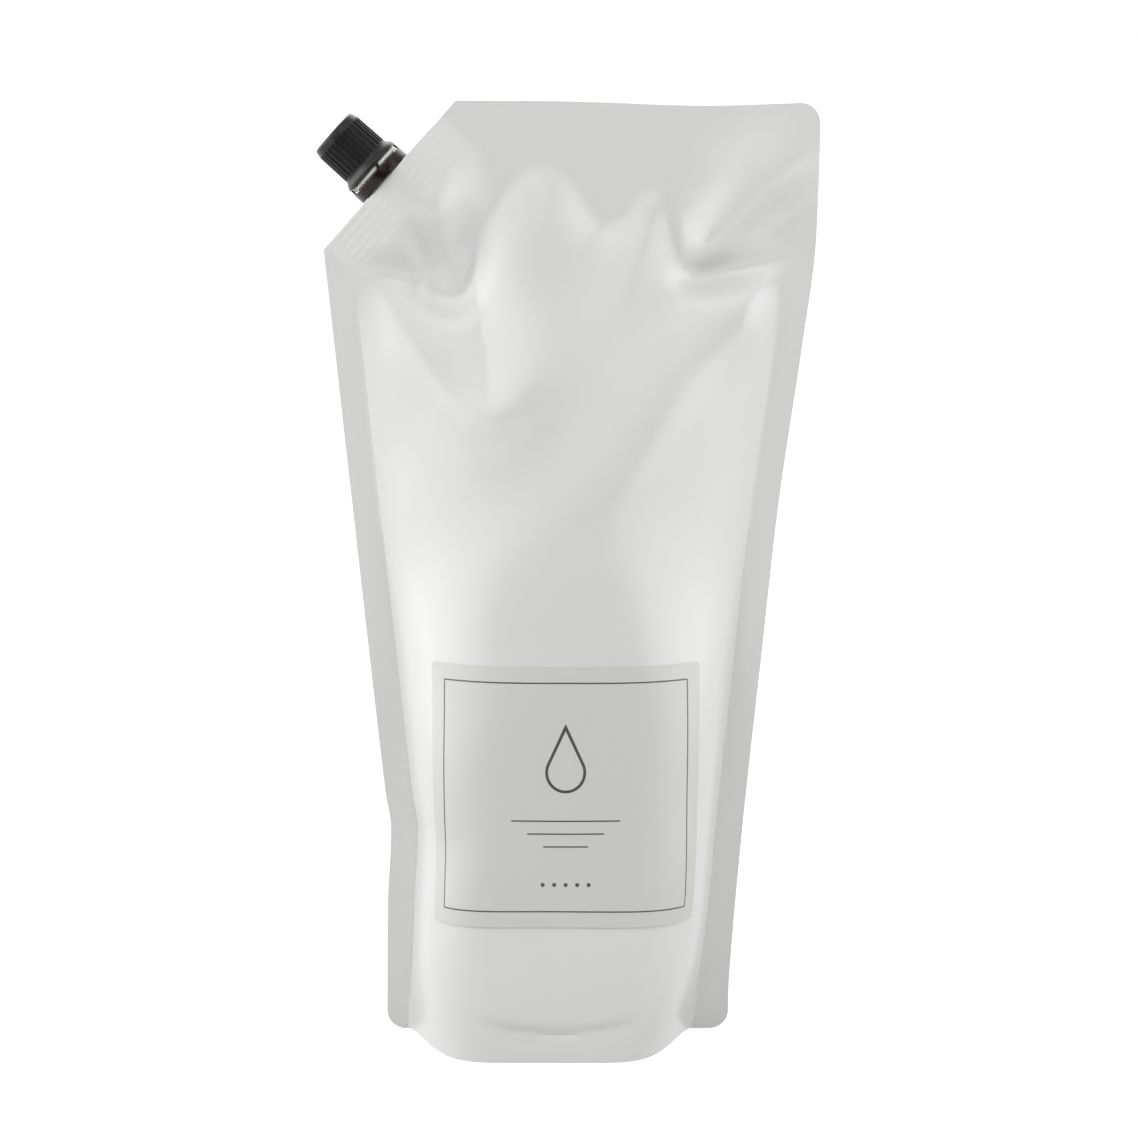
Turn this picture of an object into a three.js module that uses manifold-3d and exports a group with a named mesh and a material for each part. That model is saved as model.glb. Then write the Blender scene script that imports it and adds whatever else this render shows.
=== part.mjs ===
// A stand-up film pouch of liquid soap, with a spout in its cut corner and a screw cap.
// Millimetres, +Z up, front towards -Y. The origin is the middle of the foot, on the table.
import * as THREE from "three";
import { mergeVertices } from "three/addons/utils/BufferGeometryUtils.js";
import Module from "manifold-3d";

const wasm = await Module();
wasm.setup();

// Fits
const FIT_GAP = 0.3;
const MERGE_TOLERANCE = 1e-4;

// Pouch, overall
const POUCH_HEIGHT = 300;
const HEAD_WIDTH = 161;
const HEAD_SHIFT = 2;
const FOOT_WIDTH = 111;
const FOOT_DEPTH = 78;
const HEAD_CORNER = 6.5;
const FOOT_CORNER = 6;
const SEALED_THICKNESS = 0.6;
const SIDE_SEAL = 8.7;
const LEFT_FOOT_SEAL = 6.6;
const RIGHT_FOOT_SEAL = 11.8;
const GUSSET_HEIGHT = 50;
const HEAD_SEAL = 9;

// Shape of the filled pouch: pairs of a share of the height and a share of what the name says
const LEFT_SPREAD = [
  [0, 0], [0.143, -0.01], [0.225, -0.05], [0.262, 0.02], [0.5, 0.34], [0.845, 0.79], [1, 1],
];
const RIGHT_SPREAD = [
  [0, 0], [0.06, 0.01], [0.23, 0.16], [0.407, 0.36], [0.58, 0.56], [0.75, 0.83], [0.85, 0.97], [1, 1],
];
const DEPTH_SHARE = [
  [0, 0.99], [0.1, 1], [0.2, 0.95], [0.333, 0.82], [0.45, 0.66], [0.6, 0.455], [0.7, 0.34], [0.8, 0.25],
  [0.9, 0.18], [1, 0.11],
];
// How flat the front of a section is, and how round its sides are
const FLATNESS = [[0, 6.3], [0.13, 5.6], [0.3, 4.6], [0.4, 3.4], [0.5, 2.5], [0.6, 2.2], [0.77, 2.1], [1, 2]];
const SIDE_POWER = [[0, 2], [0.05, 1], [0.12, 0.65], [0.3, 0.7], [0.4, 0.8], [0.5, 0.95], [0.6, 1], [1, 1]];

// Top edge of the filled belly: pairs of x and drop below the head, and how far in the film has fully risen
const FRONT_CROWN = [
  // below the spout
  [-64, 46], [-54.7, 48.4], [-45.9, 55.6], [-38, 61.5], [-32, 62], [-28.4, 59], [-25.9, 50], [-24.4, 40.6],
  // first peak
  [-20.9, 32.5], [-16.3, 26.9], [-10.9, 22.2], [-5.3, 20.7], [-0.3, 21.9], [4.7, 25.9], [9.7, 33.1],
  // pocket and second peak
  [14.7, 37.5], [20.3, 35], [25.9, 30], [31.5, 27], [35, 31.5], [38, 42],
  // right shoulder
  [42.5, 54.7], [50, 55.3], [59, 54], [72, 50],
];
const BACK_CROWN = [
  [-64, 46], [-48, 55], [-34, 64], [-24, 46], [-12, 33], [2, 26], [20, 38], [34, 31], [44, 52], [72, 46],
];
const CROWN_RISE = 30;
const CROWN_POWER = 0.8;
const CROWN_LEGS = 90;
const HEAD_SLACK = 0.3;

// Foot: the rim that stands on the table, and the gusset behind it
const RIM_WIDTH = 1.2;
const GROOVE_DEPTH = 6;
const BELLY_INSET = 13;
const GROOVE_STEPS = [
  [0, 0], [RIM_WIDTH, 0], [RIM_WIDTH + 1.6, 0.75], [RIM_WIDTH + 4, 1], [8.5, 0.6], [BELLY_INSET, 0],
];
const NARROWEST_GROOVE = 5;

// Cut corner
const CUT_DROP = 46.6;
const CUT_RUN = 41.8;
const CUT_SEAL = 9.7;
const SPOUT_ALONG_CUT = 29.6;

// Waves of the empty head: how far it dips and how far it bends back
const HEAD_DIP = 1.6;
const HEAD_DIP_PLACE = 46;
const HEAD_DIP_SPREAD = 32;
const HEAD_WAVE = 2.4;
const HEAD_WAVE_START = -22;
const HEAD_WAVE_LENGTH = 100;
const HEAD_WAVE_TOP_SHARE = 0.6;

// Folds: a way across the film as pairs of x and drop below the head, how far it stands out, and half widths
const FRONT_FOLDS = [
  // channel below the spout: two ridges and the valley between them
  { way: [[-50, 33], [-41, 45], [-35, 58], [-32, 70]], out: 2.4, wide: [6, 4] },
  { way: [[-38, 22], [-32, 38], [-29, 56], [-27, 66]], out: 2.2, wide: [6, 4] },
  { way: [[-47, 28], [-37, 41], [-32, 57], [-29, 72]], out: -3, wide: [4, 3.5] },
  // fan at the right shoulder
  { way: [[37, 60], [44, 50], [54, 37], [69, 24], [80, 15]], out: 2.8, wide: [4, 12] },
  { way: [[40, 58], [48, 52.5], [60, 45], [79, 33]], out: -2, wide: [4, 7] },
  // soft bends of the belly
  { way: [[-8, 46], [-9, 75], [-17, 90], [-30, 92]], out: 1.6, wide: [11, 9] },
  { way: [[70, 56], [47, 70], [29, 90], [5, 130]], out: 2.4, wide: [5, 9] },
  { way: [[68, 66], [52, 92], [36, 122]], out: -0.9, wide: [6, 8] },
];
const BACK_FOLDS = [
  { way: [[-49, 35], [-41, 48], [-35, 60]], out: 3.4, wide: [7, 4] },
  { way: [[-45, 28], [-33, 44], [-29, 60]], out: -3.2, wide: [4, 3] },
  { way: [[46, 50], [60, 34], [77, 20]], out: 3.6, wide: [4, 9] },
  { way: [[60, 56], [40, 78], [18, 112]], out: 1.6, wide: [6, 10] },
  { way: [[-20, 52], [-26, 84], [-40, 96]], out: 1.4, wide: [9, 10] },
];
// Folds near the foot: the same, with the rise above the foot
const SKIRT_FOLDS = [
  { way: [[-31, 14.5], [-18, 11], [-6, 9], [6, 9], [18, 11], [30, 14]], out: -1.3, wide: [1.8, 1.8] },
  { way: [[45, 54], [44, 14]], out: -2, wide: [6, 8] },
];
const FOLD_END_FADE = 0.3;
const FOLD_SEAL_FADE = 7;
const FOLD_LEGS = 12;

// Mesh of the film
const CHAMBER_COLUMNS = 30;
const SEAL_COLUMNS = 2;
const CORNER_ROWS = 4;
const FOOT_ROW_STEP = 7;
const BODY_ROW_STEP = 8.5;
const FOLD_ROW_STEP = 4.2;
const FOLDED_HEIGHT = 105;

// Front label
const LABEL_WIDTH = 88.5;
const LABEL_HEIGHT = 81;
const LABEL_FOOT = 44;
const LABEL_SHIFT = 2.7;
const LABEL_CORNER = 1.6;
const LABEL_THICKNESS = 0.25;
const LABEL_COLUMNS = 24;
const LABEL_ROWS = 13;
const LABEL_STRIDE = 0.5;

// Spout, with heights along its axis from the cut edge
const NECK_RADIUS = 7.1;
const NECK_TOP = 19.2;
const NECK_EDGE = 0.4;
const BORE_RADIUS = 5.5;
const COLLAR_RADIUS = 9;
const BEAD_HEIGHT = 1.2;
const BOAT_HALF_LENGTH = 20.5;
const BOAT_SIDE = 0.5;
const BOAT_DEPTH = 11;
const BOAT_RIBS = 5;
const BOAT_RIB_HEIGHT = 1.2;
const BOAT_RIB_STAND = 0.4;
const BOAT_OUTLINE_STEPS = 12;
const WELD_FILM = 0.45;
const WELD_FADE = 24;
const ROUND_SEGMENTS = 48;

// Tamper ring
const RING_RADIUS = 10.35;
const RING_HEIGHT = 3.5;
const RING_EDGE = 0.25;
const BRIDGES = 4;
const BRIDGE_WIDTH = 1.6;
const BRIDGE_STAND = 0.4;
const BRIDGE_TURN = 12;

// Screw cap
const CAP_SLIT = 1.7;
const CAP_HEIGHT = 16.7;
const SKIRT_RADIUS = 10.2;
const SKIRT_WALL = 1.1;
const SKIRT_LIP = 0.6;
const FLARE_HEIGHT = 3.1;
const GRIP_RADIUS = 8.85;
const GRIP_TAPER = 0.15;
const GRIP_HEIGHT = 11.1;
const GRIP_END = 0.5;
const GRIP_RIBS = 30;
const RIB_SAMPLES = [0, 1, 1, 0];
const GROOVE_CUT = 0.5;
const CROWN_RADIUS = 8.1;
const CROWN_EDGE = 1;
const FLARE_STEPS = 3;

// Liner
const LINER_THICKNESS = 1;

// Places that follow from the sizes
const FRONT = -1;
const BACK = 1;
const cutFoot = POUCH_HEIGHT - CUT_DROP;
const cutLength = Math.hypot(CUT_RUN, CUT_DROP);
const cutDirection = new THREE.Vector2(CUT_RUN / cutLength, CUT_DROP / cutLength);
const boatHalfThickness = NECK_RADIUS + BOAT_SIDE;
const collarFoot = FIT_GAP;
const ringFoot = FIT_GAP;
const ringTop = ringFoot + RING_HEIGHT;
const beadFoot = ringTop + FIT_GAP;
const beadRadius = RING_RADIUS - RING_EDGE - BRIDGE_STAND - FIT_GAP / 2;
const beadTop = beadFoot + BEAD_HEIGHT;
const capFoot = ringTop + CAP_SLIT;
const capTop = capFoot + CAP_HEIGHT;
const capBore = NECK_RADIUS + FIT_GAP;
const linerFoot = NECK_TOP + FIT_GAP;
const roofInside = linerFoot + LINER_THICKNESS + FIT_GAP;

// Helpers
function smoothStep(from, to, value) {
  return THREE.MathUtils.smoothstep(value, from, to);
}

// A smooth curve through hand-set stations of place and value
function through(stations, place) {
  const last = stations.length - 1;
  const at = THREE.MathUtils.clamp(place, stations[0][0], stations[last][0]);
  let k = 0;
  while (k < last - 1 && at > stations[k + 1][0]) k += 1;
  const slope = (j) => {
    const low = stations[Math.max(j - 1, 0)];
    const high = stations[Math.min(j + 1, last)];
    return (high[1] - low[1]) / (high[0] - low[0]);
  };
  const span = stations[k + 1][0] - stations[k][0];
  const t = (at - stations[k][0]) / span;
  const t2 = t * t;
  const t3 = t2 * t;
  return (2 * t3 - 3 * t2 + 1) * stations[k][1] + (t3 - 2 * t2 + t) * span * slope(k)
    + (3 * t2 - 2 * t3) * stations[k + 1][1] + (t3 - t2) * span * slope(k + 1);
}

// A closed mesh as a solid for joining and cutting
function solidOf(geometry) {
  const bare = new THREE.BufferGeometry();
  bare.setAttribute("position", geometry.getAttribute("position"));
  bare.setIndex(geometry.getIndex());
  const merged = mergeVertices(bare, MERGE_TOLERANCE);
  const index = merged.getIndex().array;
  const triangles = [];
  for (let i = 0; i < index.length; i += 3) {
    const [a, b, c] = index.slice(i, i + 3);
    if (a !== b && b !== c && c !== a) triangles.push(a, b, c);
  }
  const vertProperties = merged.getAttribute("position").array;
  const triVerts = new Uint32Array(triangles);
  return new wasm.Manifold(new wasm.Mesh({ numProp: 3, vertProperties, triVerts }));
}

function geometryOf(solid) {
  const mesh = solid.getMesh();
  const geometry = new THREE.BufferGeometry();
  geometry.setAttribute("position", new THREE.BufferAttribute(mesh.vertProperties, mesh.numProp));
  geometry.setIndex(new THREE.BufferAttribute(mesh.triVerts, 1));
  return geometry;
}

// A turned shape about the Z axis, from pairs of radius and height with the outside going up
function turned(profile, segments) {
  const points = profile.map(([radius, height]) => new THREE.Vector2(radius, height));
  return new THREE.LatheGeometry(points, segments).rotateX(Math.PI / 2);
}

// A shape pushed up the Z axis
function pushed(shape, foot, height) {
  const geometry = new THREE.ExtrudeGeometry(shape, { depth: height, bevelEnabled: false });
  return geometry.translate(0, 0, foot);
}

// Collects shared points and triangles into one closed geometry
class Skin {
  constructor() {
    this.places = [];
    this.triangles = [];
  }

  point(place) {
    this.places.push(place.x, place.y, place.z);
    return this.places.length / 3 - 1;
  }

  triangle(a, b, c) {
    if (a !== b && b !== c && c !== a) this.triangles.push(a, b, c);
  }

  quad(a, b, c, d) {
    this.triangle(a, b, c);
    this.triangle(a, c, d);
  }

  geometry() {
    const geometry = new THREE.BufferGeometry();
    geometry.setAttribute("position", new THREE.Float32BufferAttribute(this.places, 3));
    geometry.setIndex(this.triangles);
    return geometry;
  }
}

// Outline of the pouch at a height
function spread(stations, z) {
  return (FOOT_WIDTH + (HEAD_WIDTH - FOOT_WIDTH) * through(stations, z / POUCH_HEIGHT)) / 2;
}

function middle(z) {
  return HEAD_SHIFT * z / POUCH_HEIGHT;
}

function leftEdge(z) {
  return middle(z) - spread(LEFT_SPREAD, z);
}

function rightEdge(z) {
  return middle(z) + spread(RIGHT_SPREAD, z);
}

const cutStart = leftEdge(cutFoot);
const spoutSeat = new THREE.Vector2(cutStart, cutFoot).addScaledVector(cutDirection, SPOUT_ALONG_CUT);

// How far a round corner draws the edge in, at a distance from the end of that edge
function cornerInset(distance, radius) {
  if (distance >= radius) return 0;
  return radius - Math.sqrt(radius ** 2 - (radius - distance) ** 2);
}

function leftLimit(z) {
  if (z > cutFoot) return cutStart + (z - cutFoot) * CUT_RUN / CUT_DROP;
  return leftEdge(z) + cornerInset(z, FOOT_CORNER);
}

function rightLimit(z) {
  return rightEdge(z) - cornerInset(z, FOOT_CORNER) - cornerInset(POUCH_HEIGHT - z, HEAD_CORNER);
}

// The side seals change their width towards the foot, where the gusset is sealed between them
function sideSeal(footSeal, z) {
  const rise = Math.max(1 - z / GUSSET_HEIGHT, 0);
  return SIDE_SEAL + (footSeal - SIDE_SEAL) * rise ** 2;
}

function chamber(z) {
  return {
    left: leftEdge(z) + sideSeal(LEFT_FOOT_SEAL, z),
    right: rightEdge(z) - sideSeal(RIGHT_FOOT_SEAL, z),
  };
}

// Place relative to the cut: how far inside it, and how far along it from the spout
function fromCut(x, z) {
  const offset = new THREE.Vector2(x, z).sub(spoutSeat);
  return {
    inside: offset.x * cutDirection.y - offset.y * cutDirection.x,
    along: offset.dot(cutDirection),
  };
}

// Half thickness of the boat-shaped base of the spout, along the cut
function boatHalf(along, grow) {
  const share = along / (BOAT_HALF_LENGTH + grow);
  if (Math.abs(share) >= 1) return 0;
  return (boatHalfThickness + grow) * (1 - share ** 2);
}

// Film that stands out over the boat and falls away below it
function weldDepth(x, z) {
  const { inside, along } = fromCut(x, z);
  const covered = BOAT_DEPTH + 2 * FIT_GAP;
  const fade = 1 - smoothStep(covered, covered + WELD_FADE, inside);
  return boatHalf(along, FIT_GAP + WELD_FILM) * fade;
}

// Depth of the filled belly on one side of the middle plane
function bellyDepth(x, z) {
  const { left, right } = chamber(z);
  const share = Math.abs((2 * x - left - right) / (right - left));
  if (share >= 1) return 0;
  const level = z / POUCH_HEIGHT;
  const section = (1 - share ** through(FLATNESS, level)) ** through(SIDE_POWER, level);
  return FOOT_DEPTH / 2 * through(DEPTH_SHARE, level) * section;
}

// Distance from a place to a way of straight legs, and the share of the way passed there
function nearestOn(way, x, drop) {
  let nearest = Infinity;
  let along = 0;
  for (let k = 0; k < way.length - 1; k += 1) {
    const [fromX, fromDrop] = way[k];
    const legX = way[k + 1][0] - fromX;
    const legDrop = way[k + 1][1] - fromDrop;
    const passed = ((x - fromX) * legX + (drop - fromDrop) * legDrop) / (legX ** 2 + legDrop ** 2);
    const share = THREE.MathUtils.clamp(passed, 0, 1);
    const distance = Math.hypot(x - fromX - legX * share, drop - fromDrop - legDrop * share);
    if (distance < nearest) {
      nearest = distance;
      along = (k + share) / (way.length - 1);
    }
  }
  return { nearest, along };
}

// A way of straight legs made into a smooth one with more legs
function bent(way) {
  const line = (axis) => way.map((place, k) => [k / (way.length - 1), place[axis]]);
  const [across, down] = [line(0), line(1)];
  return Array.from({ length: FOLD_LEGS + 1 }, (_, k) => [
    through(across, k / FOLD_LEGS),
    through(down, k / FOLD_LEGS),
  ]);
}

function crownLine(crown) {
  const first = crown[0][0];
  const last = crown[crown.length - 1][0];
  return Array.from({ length: CROWN_LEGS + 1 }, (_, k) => {
    const x = THREE.MathUtils.lerp(first, last, k / CROWN_LEGS);
    return [x, through(crown, x)];
  });
}

function bentFolds(folds) {
  return folds.map((fold) => ({ ...fold, way: bent(fold.way) }));
}

const sheets = {
  [FRONT]: { crown: FRONT_CROWN, line: crownLine(FRONT_CROWN), folds: bentFolds(FRONT_FOLDS) },
  [BACK]: { crown: BACK_CROWN, line: crownLine(BACK_CROWN), folds: bentFolds(BACK_FOLDS) },
};
const skirtFolds = bentFolds(SKIRT_FOLDS);

// How far the film has risen from the flat head to the belly, from 0 to 1
function crownShare(side, x, z) {
  const { crown, line } = sheets[side];
  const drop = POUCH_HEIGHT - z;
  if (drop <= through(crown, x)) return 0;
  const share = Math.min(nearestOn(line, x, drop).nearest / CROWN_RISE, 1);
  return (1 - (1 - share) ** 2) ** CROWN_POWER;
}

// Height of one fold above the plain film
function foldHeight(fold, x, drop) {
  const { nearest, along } = nearestOn(fold.way, x, drop);
  const wide = THREE.MathUtils.lerp(fold.wide[0], fold.wide[1], along);
  const ends = smoothStep(0, FOLD_END_FADE, Math.min(along, 1 - along));
  return fold.out * ends * Math.exp(-((nearest / wide) ** 2));
}

// Folds die out at the seals
function foldFade(x, z) {
  const { left, right } = chamber(z);
  const reach = Math.min(
    x - left,
    right - x,
    POUCH_HEIGHT - HEAD_SEAL - z,
    fromCut(x, z).inside - CUT_SEAL,
  );
  return smoothStep(0, FOLD_SEAL_FADE, reach);
}

function filmDepth(side, x, z) {
  const raise = (folds, place) => folds.reduce((sum, fold) => sum + foldHeight(fold, x, place), 0);
  const raised = HEAD_SLACK + raise(sheets[side].folds, POUCH_HEIGHT - z) + raise(skirtFolds, z);
  const cutFade = smoothStep(0, CUT_SEAL * 2, fromCut(x, z).inside - CUT_SEAL / 2);
  const filled = bellyDepth(x, z) * crownShare(side, x, z) * cutFade;
  const belly = Math.max(filled + raised * foldFade(x, z), 0);
  return (belly ** 4 + weldDepth(x, z) ** 4) ** 0.25;
}

// The empty head bends a little front to back and dips a little
function headBend(x, z) {
  const rise = smoothStep(HEAD_WAVE_TOP_SHARE * POUCH_HEIGHT, POUCH_HEIGHT, z);
  const turn = Math.max(x - HEAD_WAVE_START, 0) / HEAD_WAVE_LENGTH;
  return HEAD_WAVE * rise * (1 - Math.cos(2 * Math.PI * turn)) / 2;
}

function headDip(x, z) {
  const rise = smoothStep(POUCH_HEIGHT - CUT_DROP, POUCH_HEIGHT, z);
  return HEAD_DIP * rise * Math.exp(-(((x - HEAD_DIP_PLACE) / HEAD_DIP_SPREAD) ** 2));
}

function filmPoint(side, x, z) {
  const depth = SEALED_THICKNESS / 2 + filmDepth(side, x, z);
  return new THREE.Vector3(x, headBend(x, z) + side * depth, z - headDip(x, z));
}

// Rows of the film mesh, closer at the round corners and over the folds
function rowHeights() {
  const rows = [];
  for (let k = 0; k <= CORNER_ROWS; k += 1) {
    const turn = Math.PI / 2 * k / CORNER_ROWS;
    rows.push(FOOT_CORNER * (1 - Math.cos(turn)), POUCH_HEIGHT - HEAD_CORNER * (1 - Math.cos(turn)));
  }
  const fill = (from, to, step) => {
    const count = Math.round((to - from) / step);
    for (let k = 1; k <= count; k += 1) rows.push(from + (to - from) * k / count);
  };
  const foldFoot = POUCH_HEIGHT - FOLDED_HEIGHT;
  fill(FOOT_CORNER, GUSSET_HEIGHT, FOOT_ROW_STEP);
  fill(GUSSET_HEIGHT, foldFoot, BODY_ROW_STEP);
  fill(foldFoot, cutFoot, FOLD_ROW_STEP);
  fill(cutFoot, POUCH_HEIGHT - HEAD_CORNER, FOLD_ROW_STEP);
  rows.sort((a, b) => a - b);
  return rows.filter((z, k) => k === 0 || z - rows[k - 1] > MERGE_TOLERANCE);
}

// Places across one row: the seals, and the chamber with closer columns near its sides
function columnPlaces(z) {
  const left = leftLimit(z);
  const right = rightLimit(z);
  const chamberLeft = z > cutFoot ? left + SIDE_SEAL : chamber(z).left;
  const chamberRight = chamber(z).right;
  const places = [];
  for (let k = 0; k < SEAL_COLUMNS; k += 1) {
    places.push(THREE.MathUtils.lerp(left, chamberLeft, k / SEAL_COLUMNS));
  }
  for (let k = 0; k <= CHAMBER_COLUMNS; k += 1) {
    const share = (1 - Math.cos(Math.PI * k / CHAMBER_COLUMNS)) / 2;
    places.push(THREE.MathUtils.lerp(chamberLeft, chamberRight, share));
  }
  for (let k = 1; k <= SEAL_COLUMNS; k += 1) {
    places.push(THREE.MathUtils.lerp(chamberRight, right, k / SEAL_COLUMNS));
  }
  return places;
}

// Underside: the rim stands on the table, a groove runs behind it and the gusset rests flat inside
function addUnderside(skin, front, back) {
  const place = (id) => new THREE.Vector3().fromArray(skin.places, id * 3);
  const last = front.length - 1;
  const steps = GROOVE_STEPS.length;
  const columns = front.map((id, i) => {
    const rim = place(id);
    const far = place(back[i]);
    const reach = (far.y - rim.y) / 2;
    if (reach < NARROWEST_GROOVE) {
      return [...Array(steps).fill(id), ...Array(steps + 1).fill(back[i])];
    }
    const before = place(front[Math.max(i - 1, 0)]);
    const after = place(front[Math.min(i + 1, last)]);
    const slant = Math.hypot(1, (after.y - before.y) / (after.x - before.x));
    const fit = Math.min(1, reach / (BELLY_INSET * slant + RIM_WIDTH));
    const inner = GROOVE_STEPS.slice(1).map(([inset, rise]) => ({
      inset: inset * slant * fit,
      height: GROOVE_DEPTH * rise * fit,
    }));
    const at = (y, height) => skin.point(new THREE.Vector3(rim.x, y, height));
    return [
      id,
      ...inner.map((step) => at(rim.y + step.inset, step.height)),
      at((rim.y + far.y) / 2, 0),
      ...inner.map((step) => at(far.y - step.inset, step.height)).reverse(),
      back[i],
    ];
  });
  for (let i = 0; i < last; i += 1) {
    for (let k = 0; k < columns[i].length - 1; k += 1) {
      skin.quad(columns[i][k], columns[i][k + 1], columns[i + 1][k + 1], columns[i + 1][k]);
    }
  }
}

// Film bag with the soap in it, as one closed skin
function pouchSkin() {
  const skin = new Skin();
  const rows = rowHeights();
  const sheet = (side) => rows.map((z) => columnPlaces(z).map((x) => skin.point(filmPoint(side, x, z))));
  const front = sheet(FRONT);
  const back = sheet(BACK);
  const lastRow = rows.length - 1;
  const lastColumn = front[0].length - 1;
  for (let j = 0; j < lastRow; j += 1) {
    for (let i = 0; i < lastColumn; i += 1) {
      skin.quad(front[j][i], front[j][i + 1], front[j + 1][i + 1], front[j + 1][i]);
      skin.quad(back[j][i + 1], back[j][i], back[j + 1][i], back[j + 1][i + 1]);
    }
    skin.quad(back[j][0], front[j][0], front[j + 1][0], back[j + 1][0]);
    skin.quad(front[j][lastColumn], back[j][lastColumn], back[j + 1][lastColumn], front[j + 1][lastColumn]);
  }
  for (let i = 0; i < lastColumn; i += 1) {
    skin.quad(front[lastRow][i], front[lastRow][i + 1], back[lastRow][i + 1], back[lastRow][i]);
  }
  addUnderside(skin, front[0], back[0]);
  return skin.geometry();
}

// Frame of the spout: X along the cut, Z out of the pouch
function placeAtCut(object) {
  object.position.set(spoutSeat.x, 0, spoutSeat.y);
  object.rotation.y = -Math.atan2(cutDirection.y, cutDirection.x);
  object.updateMatrix();
  return object;
}

// Lens outline of the boat, in the frame of the spout
function boatOutline(grow) {
  const half = BOAT_HALF_LENGTH + grow;
  const shape = new THREE.Shape();
  shape.moveTo(half, 0);
  for (let k = 1; k < 2 * BOAT_OUTLINE_STEPS; k += 1) {
    const along = half * Math.cos(Math.PI * k / BOAT_OUTLINE_STEPS);
    const side = k < BOAT_OUTLINE_STEPS ? 1 : -1;
    shape.lineTo(along, side * boatHalf(along, grow));
  }
  shape.closePath();
  return shape;
}

function pouch() {
  const pocket = pushed(boatOutline(FIT_GAP), -BOAT_DEPTH - FIT_GAP, BOAT_DEPTH + 4 * FIT_GAP);
  pocket.applyMatrix4(placeAtCut(new THREE.Object3D()).matrix);
  const film = new THREE.MeshStandardMaterial({ color: 0xe9e9e8, roughness: 0.42, metalness: 0 });
  return named("pouch", geometryOf(solidOf(pouchSkin()).subtract(solidOf(pocket))), film);
}

// Label: a thin sheet that follows the front of the film
function labelRowReach(rise) {
  const end = Math.min(rise, LABEL_HEIGHT - rise);
  return LABEL_WIDTH / 2 - cornerInset(end, LABEL_CORNER);
}

function labelPoint(x, z, stand) {
  const here = filmPoint(FRONT, x, z);
  const across = filmPoint(FRONT, x + LABEL_STRIDE, z).sub(here);
  const up = filmPoint(FRONT, x, z + LABEL_STRIDE).sub(here);
  return here.addScaledVector(across.cross(up).normalize(), stand);
}

// Places across one row of the label, spaced along the curved film, so that the sheet keeps its width
function labelPlaces(reach, z) {
  const places = [LABEL_SHIFT];
  for (const side of [-1, 1]) {
    let run = 0;
    let x = LABEL_SHIFT;
    const row = [];
    while (row.length < LABEL_COLUMNS / 2) {
      const from = filmPoint(FRONT, x, z);
      const next = x + side * LABEL_STRIDE;
      const stride = filmPoint(FRONT, next, z).distanceTo(from);
      const wanted = reach * (row.length + 1) / (LABEL_COLUMNS / 2);
      if (run + stride >= wanted) {
        row.push(x + (next - x) * (wanted - run) / stride);
      } else {
        run += stride;
        x = next;
      }
    }
    if (side < 0) places.unshift(...row.reverse());
    else places.push(...row);
  }
  return places;
}

function labelRises() {
  const rises = [];
  for (let k = 0; k <= CORNER_ROWS; k += 1) {
    const end = LABEL_CORNER * (1 - Math.cos(Math.PI / 2 * k / CORNER_ROWS));
    rises.push(end, LABEL_HEIGHT - end);
  }
  for (let k = 1; k < LABEL_ROWS; k += 1) {
    rises.push(LABEL_CORNER + (LABEL_HEIGHT - 2 * LABEL_CORNER) * k / LABEL_ROWS);
  }
  return rises.sort((a, b) => a - b);
}

function frontLabel() {
  const skin = new Skin();
  const sheet = (stand) => labelRises().map((rise) => {
    const z = LABEL_FOOT + rise;
    return labelPlaces(labelRowReach(rise), z).map((x) => skin.point(labelPoint(x, z, stand)));
  });
  const outer = sheet(FIT_GAP + LABEL_THICKNESS);
  const inner = sheet(FIT_GAP);
  const top = outer.length - 1;
  const last = LABEL_COLUMNS;
  for (let j = 0; j < top; j += 1) {
    for (let i = 0; i < LABEL_COLUMNS; i += 1) {
      skin.quad(outer[j][i], outer[j][i + 1], outer[j + 1][i + 1], outer[j + 1][i]);
      skin.quad(inner[j][i + 1], inner[j][i], inner[j + 1][i], inner[j + 1][i + 1]);
    }
    skin.quad(inner[j][0], outer[j][0], outer[j + 1][0], inner[j + 1][0]);
    skin.quad(outer[j][last], inner[j][last], inner[j + 1][last], outer[j + 1][last]);
  }
  for (let i = 0; i < LABEL_COLUMNS; i += 1) {
    skin.quad(outer[top][i], outer[top][i + 1], inner[top][i + 1], inner[top][i]);
    skin.quad(inner[0][i], inner[0][i + 1], outer[0][i + 1], outer[0][i]);
  }
  const paper = new THREE.MeshStandardMaterial({ color: 0xc6c6c1, roughness: 0.7, metalness: 0 });
  return named("front_label", skin.geometry(), paper);
}

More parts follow.
